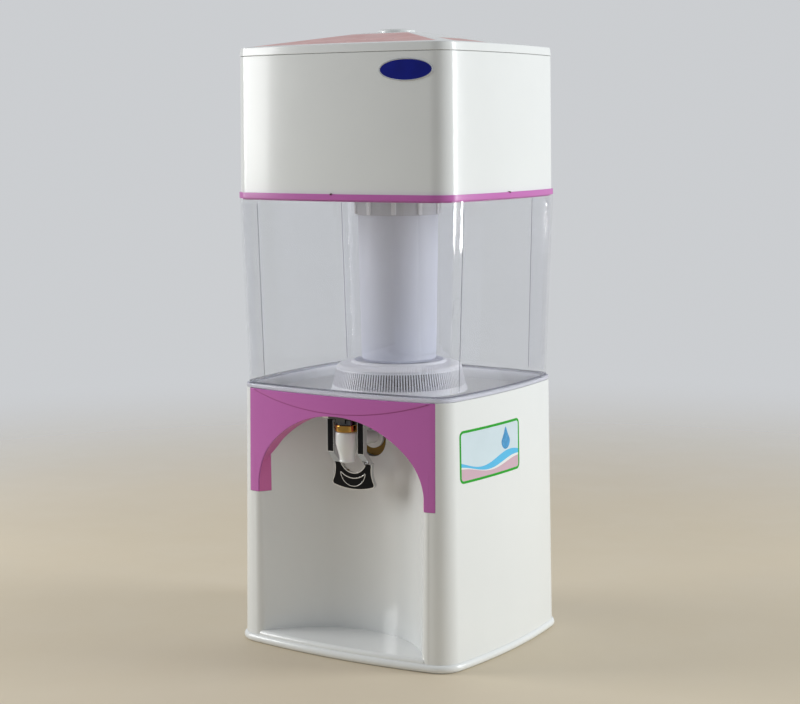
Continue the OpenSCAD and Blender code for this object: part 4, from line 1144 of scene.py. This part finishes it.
WAVES_PER_M = 55
under = tree.nodes["Mix"].outputs["Result"]
for colour, height, swing, start in [
    ((0.08, 0.50, 0.82, 1), 0.2225, 0.0055, 1.6),
    ((0.80, 0.82, 0.80, 1), 0.2165, 0.0045, 0.9),
    ((0.62, 0.42, 0.50, 1), 0.2145, 0.004, 0.6),
]:
    swell = wave_math("SINE", wave_math("MULTIPLY_ADD", axes["Y"], WAVES_PER_M, start))
    line = wave_math("MULTIPLY_ADD", swell, swing, height)
    under = blend(tree, under, colour, wave_math("LESS_THAN", axes["Z"], line))
feed(tree.nodes["Principled BSDF"], {"Base Color": under})
keep(panel, "side_panel", "stand", [border, waves], crease=30, weighted=False)

# %% [markdown]
# A drop hangs over the waves. It is a circle whose upper half is drawn in and pulled up.

# %% Drop on the side panel
DROP_Y, DROP_Z, DROP_R = -10, 238, 9


def drop(scale, rise):
    def level(a):
        lift = max(0, sin(a))
        y = DROP_R * cos(a) * (1 - 0.6 * lift ** 1.5) * scale
        z = DROP_R * sin(a) * (1 + 0.75 * lift ** 2) * scale
        return side_spot(DROP_Y + y, DROP_Z + z, rise)
    return level


drop_tint = finish("print_drop", (0.05, 0.30, 0.60), 0.25, cloud=0.2, cloud_size=9)
drops = grow(turnabout, [drop(1, 0.05), drop(1, 0.2), drop(0.96, 0.24), drop(0.6, 0.24), drop(0.2, 0.24)])
keep(drops, "side_drop", "stand", [drop_tint], crease=30, weighted=False)

# %% [markdown]
# ## Moulding marks
# Two tiny dark dots on the pink band are where the plastic entered its mould. They are small
# domes, spun like the other turned pieces and set on the top edge of the band.

# %% Moulding marks
MARKS, MARK_R = ((1.5, -134.35), (148.65, -6.6)), 1.5
dot = [(0, -1), (MARK_R, -1), (MARK_R, 0), (MARK_R - 0.4, 0.7), (0, 0.8)]
marks = bmesh.new()
for place in MARKS:
    add(marks, turned([(r, BAND_TOP + z) for r, z in dot], place, steps=24, width=0.1))
mark_tint = finish("mould_mark", (0.10, 0.01, 0.03), 0.4, cloud=0.2, cloud_size=2, ripple=0.05)
keep(marks, "band_marks", "upper", [mark_tint])

# %% [markdown]
# ## Pieces that keep their CAD shape
# The dome, the beds inside the filter, the screws and the seals are already round and fine
# enough. They only need a finish, which is put in their first material slot.

# %% Finishes on the CAD nodes
PLAIN = {
    "base_screws": steel, "outlet_elbow": matt_white, "outlet_washer": silicone, "outlet_nut": matt_white,
    "shank_seal": silicone, "lever_pin": steel, "tap_stem": steel, "valve_seal": silicone,
    "mineral_stones": stones_painted_dark, "cartridge_seal": silicone, "resin_bed": resin, "carbon_bed": carbon,
    "filter_pads": felt, "dome_base": blue, "ceramic_dome": ceramic,
}
for name, made in PLAIN.items():
    nodes[name].data.materials.clear()
    nodes[name].data.materials.append(made)
print("CAD nodes with a finish:", len(PLAIN))

# %% [markdown]
# ## Floor, room and lamps
# The object stands on a pale floor that fades into an even background. Two big soft lamps act
# as windows: one on the right, a little behind, which lights the side and draws a line on the
# corner, and one on the left, which lights the front and the alcove. The room's own light grows
# towards the back, the right and the top. The camera, reflections and clear plastic see an even
# backdrop instead, which is a little darker in front of the object, so plated pieces have
# something to reflect.

# %% Floor
FLOOR_R, FADE_FROM, FADE_TO = 3.0, 0.55, 2.2
floor = bmesh.new()
bmesh.ops.create_circle(floor, cap_ends=True, radius=FLOOR_R / MM, segments=128)
ground = as_object(floor, "floor")
ground_finish = finish(
    "floor", (0.64, 0.56, 0.43), 0.6, cloud=0.015, cloud_size=300, ripple=0, specular_ior_level=0.25,
)
tree = ground_finish.node_tree
place = tree.nodes["Texture Coordinate"].outputs["Object"]
far = add_node(tree, "VectorMath", {0: place}, "LENGTH")["Value"]
fade = remap(tree, far, (FADE_FROM, FADE_TO), (1, 0), smooth=True)
feed(tree.nodes["Principled BSDF"], {"Alpha": fade})
ground.data.materials.append(ground_finish)
print("floor radius in m:", FLOOR_R)

# %% Room
world = bpy.data.worlds.new("room")
scene.world = world
world.use_nodes = True
tree = world.node_tree
light = tree.nodes["Background"]
direction = tree.nodes.new("ShaderNodeTexCoord").outputs["Generated"]


def towards(aim, span, brightness):
    """Brightness that grows from one side of the room to the other."""
    side = add_node(tree, "VectorMath", {0: direction, 1: Vector(aim).normalized()}, "DOT_PRODUCT")
    return remap(tree, side["Value"], span, brightness, smooth=True)


lit = towards((0.60, 0.66, 0.46), (-0.75, 0.6), (0.12, 0.63))
feed(light, {"Color": (0.97, 0.985, 1.0, 1), "Strength": lit})
backdrop = towards((0.1, 1.0, 0), (-0.8, -0.1), (0.55, 1.0))
seen = add_node(tree, "Background", {"Color": (0.60, 0.615, 0.635, 1), "Strength": backdrop})
path = tree.nodes.new("ShaderNodeLightPath").outputs
shown = path["Is Camera Ray"]
for kind in ("Is Glossy Ray", "Is Transmission Ray"):
    shown = add_node(tree, "Math", {0: shown, 1: path[kind]}, "MAXIMUM")["Value"]
choice = add_node(tree, "MixShader", {0: shown, 1: light.outputs["Background"], 2: seen["Background"]})
feed(tree.nodes["World Output"], {"Surface": choice["Shader"]})
scene.view_settings.view_transform = "Standard"
print("room nodes:", len(tree.nodes))


# %% Lamps
def lamp(name, place, target, size, power, colour):
    data = bpy.data.lights.new(name, "AREA")
    data.color = colour
    data.shape = "RECTANGLE"
    data.size, data.size_y = size
    data.energy = power
    made = bpy.data.objects.new(name, data)
    scene.collection.objects.link(made)
    made.location = place
    made.rotation_euler = (Vector(target) - Vector(place)).to_track_quat("-Z", "Y").to_euler()
    print("lamp", name, power, "W")


lamp("right_window", (2.1, 1.07, 0.9), (0, 0, 0.4), (0.9, 1.5), 34, (0.95, 0.985, 1.0))
lamp("left_window", (-1.94, -1.03, 0.98), (0, 0, 0.45), (1.1, 1.1), 32, (0.99, 1.0, 1.0))
